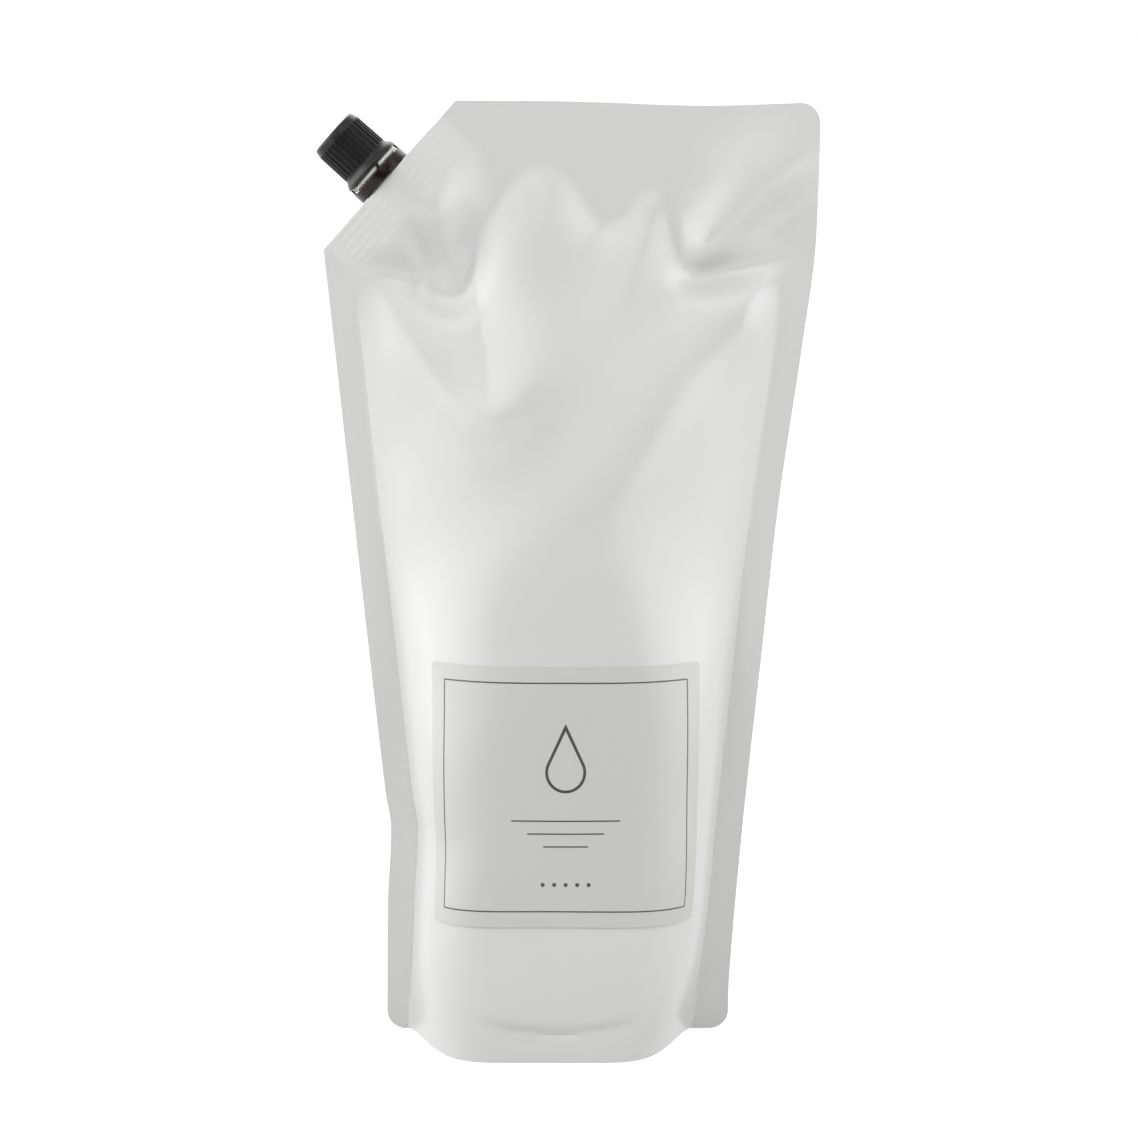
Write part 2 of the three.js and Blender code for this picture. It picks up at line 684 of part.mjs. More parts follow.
// Spout: neck, collar, bead and the ribbed boat that is welded between the films
function spout() {
  const neck = turned([
    [0, -BOAT_DEPTH],
    [NECK_RADIUS, -BOAT_DEPTH],
    [NECK_RADIUS, collarFoot],
    [COLLAR_RADIUS, collarFoot],
    [COLLAR_RADIUS, beadFoot],
    [beadRadius, beadFoot],
    [beadRadius, beadTop - NECK_EDGE],
    [beadRadius - NECK_EDGE, beadTop],
    [NECK_RADIUS, beadTop],
    [NECK_RADIUS, NECK_TOP - NECK_EDGE],
    [NECK_RADIUS - NECK_EDGE, NECK_TOP],
    [0, NECK_TOP],
  ], ROUND_SEGMENTS);
  let body = solidOf(neck).add(solidOf(pushed(boatOutline(-BOAT_RIB_STAND), -BOAT_DEPTH, BOAT_DEPTH)));
  for (let k = 0; k < BOAT_RIBS; k += 1) {
    const foot = -BOAT_DEPTH + (BOAT_DEPTH - BOAT_RIB_HEIGHT) * k / (BOAT_RIBS - 1);
    body = body.add(solidOf(pushed(boatOutline(0), foot, BOAT_RIB_HEIGHT)));
  }
  const bore = turned([
    [0, -BOAT_DEPTH - 1],
    [BORE_RADIUS, -BOAT_DEPTH - 1],
    [BORE_RADIUS, NECK_TOP + 1],
    [0, NECK_TOP + 1],
  ], ROUND_SEGMENTS);
  const natural = new THREE.MeshStandardMaterial({ color: 0xe4e4e0, roughness: 0.5, metalness: 0 });
  return named("spout", geometryOf(body.subtract(solidOf(bore))), natural);
}

// Tamper ring with the stubs of its bridges, which part from the cap at first opening
function tamperRing() {
  const inside = COLLAR_RADIUS + FIT_GAP;
  const ring = turned([
    [inside, ringFoot],
    [RING_RADIUS - RING_EDGE, ringFoot],
    [RING_RADIUS, ringFoot + RING_EDGE],
    [RING_RADIUS, ringTop - RING_EDGE],
    [RING_RADIUS - RING_EDGE, ringTop],
    [inside, ringTop],
    [inside, ringFoot],
  ], ROUND_SEGMENTS);
  let body = solidOf(ring);
  const stubHeight = CAP_SLIT - FIT_GAP + RING_EDGE * 2;
  for (let k = 0; k < BRIDGES; k += 1) {
    const stub = new THREE.BoxGeometry(BRIDGE_STAND, BRIDGE_WIDTH, stubHeight);
    stub.translate(RING_RADIUS - RING_EDGE - BRIDGE_STAND / 2, 0, capFoot - FIT_GAP - stubHeight / 2);
    stub.rotateZ(THREE.MathUtils.degToRad(BRIDGE_TURN) + 2 * Math.PI * k / BRIDGES);
    body = body.add(solidOf(stub));
  }
  const dark = new THREE.MeshStandardMaterial({ color: 0x1d1a19, roughness: 0.25, metalness: 0 });
  return named("tamper_ring", geometryOf(body), dark);
}

// Screw cap: the flared skirt, the ribbed grip and the crown, hollow below its roof
function screwCap() {
  const flareTop = capFoot + FLARE_HEIGHT;
  const gripTop = flareTop + GRIP_HEIGHT;
  const flare = Array.from({ length: FLARE_STEPS + 1 }, (_, k) => {
    const share = k / FLARE_STEPS;
    const radius = THREE.MathUtils.lerp(SKIRT_RADIUS, GRIP_RADIUS, smoothStep(0, 1, share));
    return [radius, THREE.MathUtils.lerp(capFoot + SKIRT_LIP, flareTop, share)];
  });
  const grip = [
    [GRIP_RADIUS, flareTop + GRIP_END],
    [GRIP_RADIUS - GRIP_TAPER, gripTop - GRIP_END],
  ];
  const lower = [
    [0, roofInside],
    [capBore, roofInside],
    [capBore, flareTop],
    [SKIRT_RADIUS - SKIRT_WALL, capFoot],
    [SKIRT_RADIUS, capFoot],
  ];
  const crown = [
    [GRIP_RADIUS - GRIP_TAPER - GROOVE_CUT, gripTop],
    [CROWN_RADIUS, capTop - CROWN_EDGE],
    [CROWN_RADIUS - CROWN_EDGE * 0.3, capTop - CROWN_EDGE * 0.3],
    [CROWN_RADIUS - CROWN_EDGE, capTop],
    [0, capTop],
  ];
  const profile = [...lower, ...flare, ...grip, ...crown];
  const segments = GRIP_RIBS * RIB_SAMPLES.length;
  const geometry = turned(profile, segments);
  const gripStart = lower.length + flare.length;
  const places = geometry.getAttribute("position");
  for (let turn = 0; turn <= segments; turn += 1) {
    for (let k = 0; k < grip.length; k += 1) {
      const id = turn * profile.length + gripStart + k;
      const sunk = GROOVE_CUT * (1 - RIB_SAMPLES[turn % RIB_SAMPLES.length]);
      const shrink = 1 - sunk / grip[k][0];
      places.setXY(id, places.getX(id) * shrink, places.getY(id) * shrink);
    }
  }
  const black = new THREE.MeshStandardMaterial({ color: 0x1c1c1c, roughness: 0.55, metalness: 0 });
  return named("screw_cap", geometryOf(solidOf(geometry)), black);
}

// Liner: the sealing disc between the mouth of the spout and the roof of the cap
function capLiner() {
  const disc = new THREE.CylinderGeometry(NECK_RADIUS, NECK_RADIUS, LINER_THICKNESS, ROUND_SEGMENTS);
  disc.rotateX(Math.PI / 2).translate(0, 0, linerFoot + LINER_THICKNESS / 2);
  const foam = new THREE.MeshStandardMaterial({ color: 0xf2f2ee, roughness: 0.8, metalness: 0 });
  return named("cap_liner", geometryOf(solidOf(disc)), foam);
}

function named(name, geometry, material) {
  const mesh = new THREE.Mesh(geometry, material);
  mesh.name = name;
  return mesh;
}

const closure = placeAtCut(new THREE.Group());
closure.add(spout(), tamperRing(), capLiner(), screwCap());

const pack = new THREE.Group();
pack.add(pouch(), frontLabel(), closure);

export default pack;
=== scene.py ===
"""A hand soap refill pouch with its label, spout, tamper ring and screw cap, dressed for rendering."""
import math

import bpy
import numpy as np
from mathutils import Matrix, Vector


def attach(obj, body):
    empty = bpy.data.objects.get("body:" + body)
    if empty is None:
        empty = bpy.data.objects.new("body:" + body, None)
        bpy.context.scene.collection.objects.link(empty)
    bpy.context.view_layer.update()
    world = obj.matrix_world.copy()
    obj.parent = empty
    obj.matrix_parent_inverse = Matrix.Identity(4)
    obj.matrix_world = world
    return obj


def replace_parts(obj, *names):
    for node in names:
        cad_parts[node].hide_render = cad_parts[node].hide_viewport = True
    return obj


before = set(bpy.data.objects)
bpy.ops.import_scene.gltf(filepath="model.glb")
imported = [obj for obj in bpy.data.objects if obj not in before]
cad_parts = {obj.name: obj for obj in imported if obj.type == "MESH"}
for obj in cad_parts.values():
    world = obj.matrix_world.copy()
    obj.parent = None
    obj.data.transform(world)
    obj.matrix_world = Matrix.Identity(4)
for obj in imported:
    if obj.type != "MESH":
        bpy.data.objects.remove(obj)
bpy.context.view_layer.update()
scene = bpy.context.scene

# Sizes are millimetres where nothing else is said; meshes are scaled to metres when they are made
MM = 0.001
FIT_GAP = 0.3
SHARP_ANGLE = 42

# Pouch, overall
POUCH_HEIGHT = 300
HEAD_WIDTH = 161
HEAD_SHIFT = 2
FOOT_WIDTH = 111
FOOT_DEPTH = 78
HEAD_CORNER = 6.5
FOOT_CORNER = 6
SEALED_THICKNESS = 0.6
SIDE_SEAL = 8.7
LEFT_FOOT_SEAL = 6.6
RIGHT_FOOT_SEAL = 11.8
GUSSET_HEIGHT = 50
HEAD_SEAL = 9

# Shape of the filled pouch: pairs of a share of the height and a share of what the name says
LEFT_SPREAD = [(0, 0), (0.143, -0.01), (0.225, -0.05), (0.262, 0.02), (0.5, 0.34), (0.845, 0.79), (1, 1)]
RIGHT_SPREAD = [
    (0, 0), (0.06, 0.01), (0.23, 0.16), (0.407, 0.36), (0.58, 0.56), (0.75, 0.83), (0.85, 0.97), (1, 1),
]
DEPTH_SHARE = [
    (0, 0.99), (0.1, 1), (0.2, 0.95), (0.333, 0.82), (0.45, 0.66), (0.6, 0.455), (0.7, 0.34),
    (0.8, 0.25), (0.9, 0.18), (1, 0.11),
]
# How flat the front of a section is, and how round its sides are
FLATNESS = [(0, 6.3), (0.13, 5.6), (0.3, 4.6), (0.4, 3.4), (0.5, 2.5), (0.6, 2.2), (0.77, 2.1), (1, 2)]
SIDE_POWER = [(0, 2), (0.05, 1), (0.12, 0.65), (0.3, 0.7), (0.4, 0.8), (0.5, 0.95), (0.6, 1), (1, 1)]

# Top edge of the filled belly: pairs of x and drop below the head, and how far in the film has risen
FRONT_CROWN = [
    # below the spout
    (-64, 46), (-54.7, 48.4), (-45.9, 55.6), (-38, 61.5), (-32, 62), (-28.4, 59), (-25.9, 50), (-24.4, 40.6),
    # first peak
    (-20.9, 32.5), (-16.3, 26.9), (-10.9, 22.2), (-5.3, 20.7), (-0.3, 21.9), (4.7, 25.9), (9.7, 33.1),
    # pocket and second peak
    (14.7, 37.5), (20.3, 35), (25, 30.5), (29.5, 27.6), (33.5, 28.8), (37, 37), (40, 48),
    # right shoulder
    (43, 54.7), (50, 55.3), (59, 54), (72, 50),
]
BACK_CROWN = [
    (-64, 46), (-48, 55), (-34, 64), (-24, 46), (-12, 33), (2, 26), (20, 38), (34, 31), (44, 52), (72, 46),
]
CROWN_RISE = 45
CROWN_POWER = 0.8
CROWN_LEGS = 90
# How far around a place its rise is averaged, and from how many places
CROWN_SOFT = 2.5
CROWN_SOFT_TAPS = 6
HEAD_SLACK = 0.3

# Foot: a rim, and a groove between it and the flat gusset
RIM_WIDTH = 1.2
GROOVE_DEPTH = 6
GROOVE_LEAN = 0.6
GROOVE_ROUNDNESS = 1.2
BELLY_INSET = 13
GROOVE_STEPS = 14
NARROWEST_GROOVE = 2.5

# Cut corner
CUT_DROP = 46.6
CUT_RUN = 41.8
CUT_SEAL = 9.7
SPOUT_ALONG_CUT = 29.6

# Waves of the empty head
HEAD_DIP = 1.6
HEAD_DIP_PLACE = 46
HEAD_DIP_SPREAD = 32
HEAD_WAVE = 2.4
HEAD_WAVE_START = -22
HEAD_WAVE_LENGTH = 100
HEAD_WAVE_TOP_SHARE = 0.6

# Folds: a way as pairs of x and drop below the head, how far it stands out, half widths at both ends,
# and how many times wider it is on its left
FRONT_FOLDS = [
    # round end of the lobe at the left, and a bend across the right side
    ([(-62, 42), (-51, 61), (-41, 80), (-31, 93), (-20, 98), (-11, 90), (-7, 72), (-1, 50)], 2.8, (9, 8), 2),
    ([(-10, 168), (11, 131), (31, 99), (49, 76), (66, 62), (88, 46)], 4.4, (17, 12), 1.3),
]
BACK_FOLDS = [
    ([(60, 56), (40, 78), (18, 112)], 1.6, (6, 10), 1),
    ([(-20, 52), (-26, 84), (-40, 96)], 1.4, (9, 10), 1),
]
# Folds near the foot: the same, with the rise above the foot
SKIRT_FOLDS = [
    ([(-31, 14.5), (-18, 11), (-6, 9), (6, 9), (18, 11), (30, 14)], -1.3, (1.8, 1.8), 1),
    ([(45, 54), (44, 14)], -2, (6, 8), 1),
]
# Bends of the empty head, where both films move as one
HEAD_BENDS = [
    # two ridges of the channel below the spout, and the valley between them
    ([(-63, 35), (-52, 45), (-44, 54), (-38.5, 62)], 2.2, (6, 5), 1),
    ([(-46, 6), (-40, 28), (-35.5, 45), (-33.5, 58)], 1.9, (7, 4.5), 1),
    ([(-56, 22), (-47, 38), (-40.5, 51), (-36, 64)], -2.6, (6, 4.5), 1),
    # fan at the right shoulder, the valley below it and the one along the shoulder
    ([(39, 60), (47, 48), (57, 35), (69, 22), (92, 2)], 4.6, (3, 10), 2),
    ([(40, 59), (52, 48), (68, 38), (94, 24)], -1.8, (4, 9), 1),
    ([(34, 54), (46, 54.5), (60, 52), (84, 44)], -2.2, (4, 5), 1),
]
# Dip of the empty head along the top edge of the belly, where that edge lies low
CROWN_DIP = 2.6
CROWN_DIP_WIDTH = 5.5
CROWN_DIP_DROP = (30, 52)
# Share of a fold's length, and distance from a seal, over which it fades out
FOLD_END_FADE = 0.3
FOLD_SEAL_FADE = 12
FOLD_LEGS = 12
# Slow waves of the film: length, direction and phase of each
SLACK = 0.16
SLACK_WAVES = [(46, 0.5, 0.4), (37, 2.2, 1.9), (58, 1.2, 4.1)]

# Film mesh
CHAMBER_COLUMNS = 150
SEAL_COLUMNS = 6
CORNER_ROWS = 8
ROW_STEP = 1.4

# Front label
LABEL_WIDTH = 88.5
LABEL_HEIGHT = 81
LABEL_FOOT = 44
LABEL_SHIFT = 2.7
LABEL_CORNER = 1.6
LABEL_THICKNESS = 0.25
LABEL_GLUE = 0.05
LABEL_COLUMNS = 96
LABEL_ROWS = 96
NORMAL_STEP = 0.25
SHEET_MAP = "sheet"

# Plain print of the label, from its middle
PRINT_INSET = 5
PRINT_LINE = 0.45
DROP_FOOT = 8
DROP_RADIUS = 6.4
DROP_HEIGHT = 15
DROP_LINE = 0.9
DROP_TIP_LINE = 2.25
RULES_TOP = -7
RULE_STEP = 4
RULE_HALVES = [17, 12, 7]
DOTS = 5
DOT_STEP = 3.6
DOT_RADIUS = 0.65
DOTS_PLACE = -27

# Spout, with heights along its axis from the cut edge
NECK_RADIUS = 7.1
NECK_TOP = 19.2
NECK_EDGE = 0.4
NECK_EDGE_STEPS = 3
BORE_RADIUS = 5.5
COLLAR_RADIUS = 8.2
BEAD_HEIGHT = 1.3
BEAD_RADIUS = 9.35
BOAT_HALF_LENGTH = 20.5
BOAT_SIDE = 0.5
BOAT_DEPTH = 11
BOAT_PROUD = 0.15
BOAT_RIBS = 5
BOAT_RIB_HEIGHT = 1.2
BOAT_RIB_STAND = 0.4
WELD_FILM = 0.45
WELD_FADE = 24
WELD_HALF_LENGTH = 28
WELD_BOW = 1.5
WELD_BLEND = 4
WELD_LINE_STAND = 0.03
WELD_LINE_HALF = 24
WELD_LINE_FADE = 3
THREAD_PITCH = 3
THREAD_STAND = 0.55
THREAD_HALF_WIDTH = 0.8
THREAD_FLANK = 0.5
THREAD_STEP = 0.2
SPOUT_SEGMENTS = 192

# Tamper ring
RING_RADIUS = 10.35
RING_HEIGHT = 3.5
RING_EDGE = 0.25
RING_EDGE_STEPS = 4
RING_BORE = 8.5
RING_SEGMENTS = 160
BRIDGES = 4
BRIDGE_TURN = 12
BRIDGE_DEPTH = 0.55
BRIDGE_FOOT_WIDTH = 1.3
BRIDGE_HEAD_WIDTH = 0.8
BRIDGE_SLANT = 0.4
BRIDGE_GAP = 0.05

# Screw cap
CAP_SLIT = 1.7
CAP_HEIGHT = 16.7
SKIRT_RADIUS = 10.2
SKIRT_WALL = 1.1
SKIRT_LIP = 0.6
LIP_EDGE = 0.2
LIP_EDGE_STEPS = 3
FLARE_HEIGHT = 3.1
FLARE_STEPS = 12
GRIP_RADIUS = 8.85
GRIP_TAPER = 0.15
GRIP_HEIGHT = 11.1
GRIP_RIBS = 30
FLUTE_DEPTH = 0.7
FLUTE_SHARE = 0.8
FLUTE_END = 0.35
FLUTE_END_REACH = 1.4
FLUTE_END_STEPS = 14
FLUTE_STEPS = 11
RIB_SEGMENTS = 16
CROWN_RADIUS = 8.3
CROWN_EDGE = 1.1
CROWN_EDGE_START = 10
CROWN_EDGE_STEPS = 8
CROWN_DISH = 0.25
CROWN_DISH_RADIUS = 5.6
LINER_THICKNESS = 1

# Finishes: name, colour, gloss, lowest and highest roughness, and the grain: scale, depth in metres, strength
FILM_FINISH = ("white_film", (0.66, 0.66, 0.655), 0.9, (0.28, 0.34), (1600, 0.00001, 0.2))
LABEL_FINISH = ("grey_label", (0.58, 0.58, 0.555), 0.7, (0.34, 0.42), (2500, 0.00002, 0.25))
CAP_FINISH = ("black_cap", (0.006, 0.006, 0.006), 0.32, (0.26, 0.36), (1800, 0.00003, 0.3))
RING_FINISH = ("black_ring", (0.007, 0.004, 0.004), 0.3, (0.18, 0.28), (1500, 0.00002, 0.3))
SPOUT_FINISH = ("natural_spout", (0.82, 0.82, 0.8), 0.5, (0.36, 0.5), (1200, 0.00003, 0.3))
LINER_FINISH = ("sealing_foam", (0.7, 0.7, 0.67), 0.5, (0.6, 0.8), (900, 0.0001, 0.5))
GRAIN_DETAIL = 3
GRAIN_RANGE = (0.3, 0.7)
INK_COLOR = (0.05, 0.05, 0.047)
RING_TINT = (1, 0.86, 0.84)
# Light that scatters in the natural plastic, with the scale in metres
SPOUT_MILKINESS = 0.4
SPOUT_MILK_RADIUS = (1, 0.9, 0.8)
SPOUT_MILK_SCALE = 0.002

# Camera, from the photograph: its place, how many degrees it looks down, and its lens
CAMERA_PLACE = (3.9, -1118, 330.5)
CAMERA_PITCH = 9.10
CAMERA_LENS = 112
CAMERA_SENSOR = 36

# Studio, in metres; each soft box has an azimuth from the camera's side, an elevation, a size and a radiance
LIGHT_TARGET = (0, 0, 0.16)
LIGHT_DISTANCE = 1.3
BOX_LIGHTS = [
    ("left_box", -62, 16, (1.5, 1.0), 2.05),
    ("right_box", 62, 16, (1.4, 1.0), 2),
    ("top_box", -12, 43, (1.3, 1.1), 1.15),
    ("strip", 58, 46, (0.14, 0.6), 2),
    ("back_box", 180, 38, (1.8, 1.1), 1.7),
    ("left_wing", -102, 10, (1.1, 1.1), 1.8),
    ("right_wing", 102, 10, (1.1, 1.1), 1),
]
WORLD_FILL = 0.2
FLOOR_HALF = 12
FLOOR_COLOR = (0.5, 0.5, 0.5)
# Glow of the floor at the pouch, and the distances over which it rises to white
FLOOR_GLOW = 0.68
FLOOR_GLOW_REACH = (0.4, 2.0)
# Dark card behind the camera: its half width, its distance and its height
FLAG_SIZE = (3, 2.2, 2.4)
FLAG_COLOR = (0.05, 0.05, 0.05)
CARD_ROUGHNESS = 0.9

FRONT = -1
BACK = 1
cut_foot = POUCH_HEIGHT - CUT_DROP
cut_length = math.hypot(CUT_RUN, CUT_DROP)
cut_way = np.array([CUT_RUN, CUT_DROP]) / cut_length
boat_half_thickness = NECK_RADIUS + BOAT_SIDE
ring_foot = FIT_GAP
ring_top = ring_foot + RING_HEIGHT
bead_foot = ring_top + FIT_GAP
bead_top = bead_foot + BEAD_HEIGHT
cap_foot = ring_top + CAP_SLIT
cap_top = cap_foot + CAP_HEIGHT
cap_bore = NECK_RADIUS + FIT_GAP
flare_top = cap_foot + FLARE_HEIGHT
flute_top = flare_top + GRIP_HEIGHT
roof_inside = NECK_TOP + FIT_GAP * 2 + LINER_THICKNESS


# Curves and steps
def smooth_step(low, high, value):
    t = np.clip((value - low) / (high - low), 0, 1)
    return t * t * (3 - 2 * t)


def through(stations, place):
    """A smooth curve through given stations of place and value."""
    places = np.array([s[0] for s in stations], float)
    values = np.array([s[1] for s in stations], float)
    last = len(stations) - 1
    low = np.maximum(np.arange(last + 1) - 1, 0)
    high = np.minimum(np.arange(last + 1) + 1, last)
    slopes = (values[high] - values[low]) / (places[high] - places[low])
    at = np.clip(np.asarray(place, float), places[0], places[-1])
    k = np.clip(np.searchsorted(places, at, side="left") - 1, 0, last - 1)
    span = places[k + 1] - places[k]
    t = (at - places[k]) / span
    return (
        (2 * t**3 - 3 * t**2 + 1) * values[k]
        + (t**3 - 2 * t**2 + t) * span * slopes[k]
        + (3 * t**2 - 2 * t**3) * values[k + 1]
        + (t**3 - t**2) * span * slopes[k + 1]
    )


# Outline of the pouch
def spread(stations, z):
    return (FOOT_WIDTH + (HEAD_WIDTH - FOOT_WIDTH) * through(stations, z / POUCH_HEIGHT)) / 2


def left_edge(z):
    return HEAD_SHIFT * z / POUCH_HEIGHT - spread(LEFT_SPREAD, z)


def right_edge(z):
    return HEAD_SHIFT * z / POUCH_HEIGHT + spread(RIGHT_SPREAD, z)


cut_start = float(left_edge(cut_foot))
spout_seat = np.array([cut_start, cut_foot]) + cut_way * SPOUT_ALONG_CUT


def corner_inset(distance, radius):
    """How far a round corner draws the edge in, at a distance from the end of that edge."""
    short = np.clip(radius - distance, 0, radius)
    return radius - np.sqrt(radius**2 - short**2)


def left_limit(z):
    cut = cut_start + (z - cut_foot) * CUT_RUN / CUT_DROP
    return np.where(z > cut_foot, cut, left_edge(z) + corner_inset(z, FOOT_CORNER))


def right_limit(z):
    return right_edge(z) - corner_inset(z, FOOT_CORNER) - corner_inset(POUCH_HEIGHT - z, HEAD_CORNER)


def side_seal(foot_seal, z):
    return SIDE_SEAL + (foot_seal - SIDE_SEAL) * np.maximum(1 - z / GUSSET_HEIGHT, 0) ** 2


def chamber(z):
    """Left and right limits of the filled chamber at a height."""
    return left_edge(z) + side_seal(LEFT_FOOT_SEAL, z), right_edge(z) - side_seal(RIGHT_FOOT_SEAL, z)


def from_cut(x, z):
    """How far inside the cut a place is, and how far along it from the spout."""
    across, up = x - spout_seat[0], z - spout_seat[1]
    return across * cut_way[1] - up * cut_way[0], across * cut_way[0] + up * cut_way[1]


# Film
def weld_depth(x, z):
    """How far the film stands out over the boat of the spout."""
    inside, along = from_cut(x, z)
    covered = BOAT_DEPTH + 2 * FIT_GAP
    fade = 1 - smooth_step(covered, covered + WELD_FADE, inside)
    bow = np.maximum(1 - (along / WELD_HALF_LENGTH) ** 2, 0) ** WELD_BOW
    return (boat_half_thickness + FIT_GAP + WELD_FILM) * bow * fade


def nearest_on(way, x, drop):
    """Distance from places to a way of straight legs, the share of the way passed there, and the side.

    The side is 1 at the right of the way and -1 at its left.
    """
    points = np.array(way, float)
    nearest = np.full(np.shape(x), np.inf)
    along = np.zeros(np.shape(x))
    side = np.zeros(np.shape(x))
    for k in range(len(points) - 1):
        leg = points[k + 1] - points[k]
        share = ((x - points[k][0]) * leg[0] + (drop - points[k][1]) * leg[1]) / leg.dot(leg)
        share = np.clip(share, 0, 1)
        distance = np.hypot(x - points[k][0] - leg[0] * share, drop - points[k][1] - leg[1] * share)
        turn = leg[0] * (drop - points[k][1]) - leg[1] * (x - points[k][0])
        along = np.where(distance < nearest, (k + share) / (len(points) - 1), along)
        side = np.where(distance < nearest, np.sign(turn), side)
        nearest = np.minimum(nearest, distance)
    return nearest, along, side


def bent(way, legs):
    """A way of straight legs made into a smooth one with more legs."""
    place = np.linspace(0, 1, len(way))
    finer = np.linspace(0, 1, legs + 1)
    return np.stack([through(list(zip(place, line)), finer) for line in np.transpose(way)], axis=-1)


def from_crown(crown, x, z):
    """Distance to the top edge of the belly."""
    places = np.linspace(crown[0][0], crown[-1][0], CROWN_LEGS + 1)
    line = np.stack([places, through(crown, places)], axis=-1)
    return nearest_on(line, x, POUCH_HEIGHT - z)[0]


def crown_dip(x, z):
    """How far the empty head bends back along the low stretches of the belly's top edge."""
    low = smooth_step(*CROWN_DIP_DROP, POUCH_HEIGHT - z)
    near = np.exp(-((from_crown(FRONT_CROWN, x, z) / CROWN_DIP_WIDTH) ** 2))
    return CROWN_DIP * low * near * fold_fade(x, z)


def sharp_crown_share(crown, x, z):
    """How far the film has risen, with sharp creases."""
    distance = np.where(POUCH_HEIGHT - z > through(crown, x), from_crown(crown, x, z), 0)
    share = np.clip(distance / CROWN_RISE, 0, 1)
    return (1 - (1 - share) ** 2) ** CROWN_POWER


def crown_share(crown, x, z):
    """How far the film has risen from the flat head to the belly, from 0 to 1, with its creases softened."""
    turns = 2 * math.pi * np.arange(CROWN_SOFT_TAPS) / CROWN_SOFT_TAPS
    around = [(CROWN_SOFT * math.cos(t), CROWN_SOFT * math.sin(t)) for t in turns]
    total = sum(sharp_crown_share(crown, x + over, z + up) for over, up in around)
    return (sharp_crown_share(crown, x, z) + total) / (1 + CROWN_SOFT_TAPS)


def belly_depth(x, z):
    """Depth of the filled pouch in front of its seals."""
    left, right = chamber(z)
    share = np.minimum(np.abs((2 * x - left - right) / (right - left)), 1)
    level = z / POUCH_HEIGHT
    section = np.maximum(1 - share ** through(FLATNESS, level), 0) ** through(SIDE_POWER, level)
    return FOOT_DEPTH / 2 * through(DEPTH_SHARE, level) * section


def fold_height(fold, x, drop):
    """Height of one fold above the plain film."""
    way, out, wide, lean = fold
    distance, along, side = nearest_on(bent(way, FOLD_LEGS), x, drop)
    width = (wide[0] + (wide[1] - wide[0]) * along) * np.where(side < 0, lean, 1)
    ends = smooth_step(0, FOLD_END_FADE, np.minimum(along, 1 - along))
    return out * ends * np.exp(-((distance / width) ** 2))


def fold_fade(x, z):
    """0 at the seals, and 1 well inside them."""
    left, right = chamber(z)
    reach = np.minimum(x - left, right - x)
    reach = np.minimum(reach, POUCH_HEIGHT - HEAD_SEAL - z)
    reach = np.minimum(reach, from_cut(x, z)[0] - CUT_SEAL)
    return smooth_step(0, FOLD_SEAL_FADE, reach)


def film_depth(side, x, z):
    """How far the front or back film stands off the plane of the seals."""
    folds = FRONT_FOLDS if side == FRONT else BACK_FOLDS
    crown = FRONT_CROWN if side == FRONT else BACK_CROWN
    raised = HEAD_SLACK + sum(fold_height(fold, x, POUCH_HEIGHT - z) for fold in folds)
    raised = raised + sum(fold_height(fold, x, z) for fold in SKIRT_FOLDS)
    cut_fade = smooth_step(0, CUT_SEAL * 2, from_cut(x, z)[0] - CUT_SEAL / 2)
    belly = belly_depth(x, z) * crown_share(crown, x, z) * cut_fade
    belly = np.maximum(belly + raised * fold_fade(x, z), 0)
    return (belly**WELD_BLEND + weld_depth(x, z) ** WELD_BLEND) ** (1 / WELD_BLEND)


def head_bends(x, z):
    """How far both films of the empty head come forward."""
    cut_fade = smooth_step(0, FOLD_SEAL_FADE, from_cut(x, z)[0] - CUT_SEAL)
    return cut_fade * sum(fold_height(bend, x, POUCH_HEIGHT - z) for bend in HEAD_BENDS)


def head_wave(x, z):
    """How far the empty head waves back as a whole."""
    rise = smooth_step(HEAD_WAVE_TOP_SHARE * POUCH_HEIGHT, POUCH_HEIGHT, z)
    turn = np.maximum(x - HEAD_WAVE_START, 0) / HEAD_WAVE_LENGTH
    return HEAD_WAVE * rise * (1 - np.cos(2 * math.pi * turn)) / 2


def head_dip(x, z):
    """How far the top edge sags."""
    rise = smooth_step(POUCH_HEIGHT - CUT_DROP, POUCH_HEIGHT, z)
    return HEAD_DIP * rise * np.exp(-(((x - HEAD_DIP_PLACE) / HEAD_DIP_SPREAD) ** 2))


def unevenness(side, x, z):
    """Slack of the film: slow waves that cross each other, fading out at the seals."""
    waves = 0
    for length, slope, phase in SLACK_WAVES:
        way = x * math.cos(slope) + z * math.sin(slope)
        waves = waves + np.sin(2 * math.pi * way / length + phase + side)
    return SLACK * waves * fold_fade(x, z)


def film_points(side, x, z):
    """Places on the front or back film, as an array that ends in x, y and z."""
    middle = head_wave(x, z) + crown_dip(x, z) + unevenness(side, x, z) - head_bends(x, z)
    y = middle + side * (SEALED_THICKNESS / 2 + film_depth(side, x, z))
    return np.stack([x, y, z - head_dip(x, z)], axis=-1)


# Mesh making
def new_object(name, points, faces, material, body):
    """A smooth-shaded piece of the scene that rides on a body and has a material slot."""
    mesh = bpy.data.meshes.new(name)
    faces = [tuple(int(v) for v in corners) for corners in faces]
    mesh.from_pydata([tuple(p) for p in np.asarray(points) * MM], [], faces)
    mesh.validate()
    mesh.materials.append(material)
    mesh.polygons.foreach_set("use_smooth", [True] * len(mesh.polygons))
    mesh.set_sharp_from_angle(angle=math.radians(SHARP_ANGLE))
    made = bpy.data.objects.new(name, mesh)
    scene.collection.objects.link(made)
    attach(made, body)
    return made


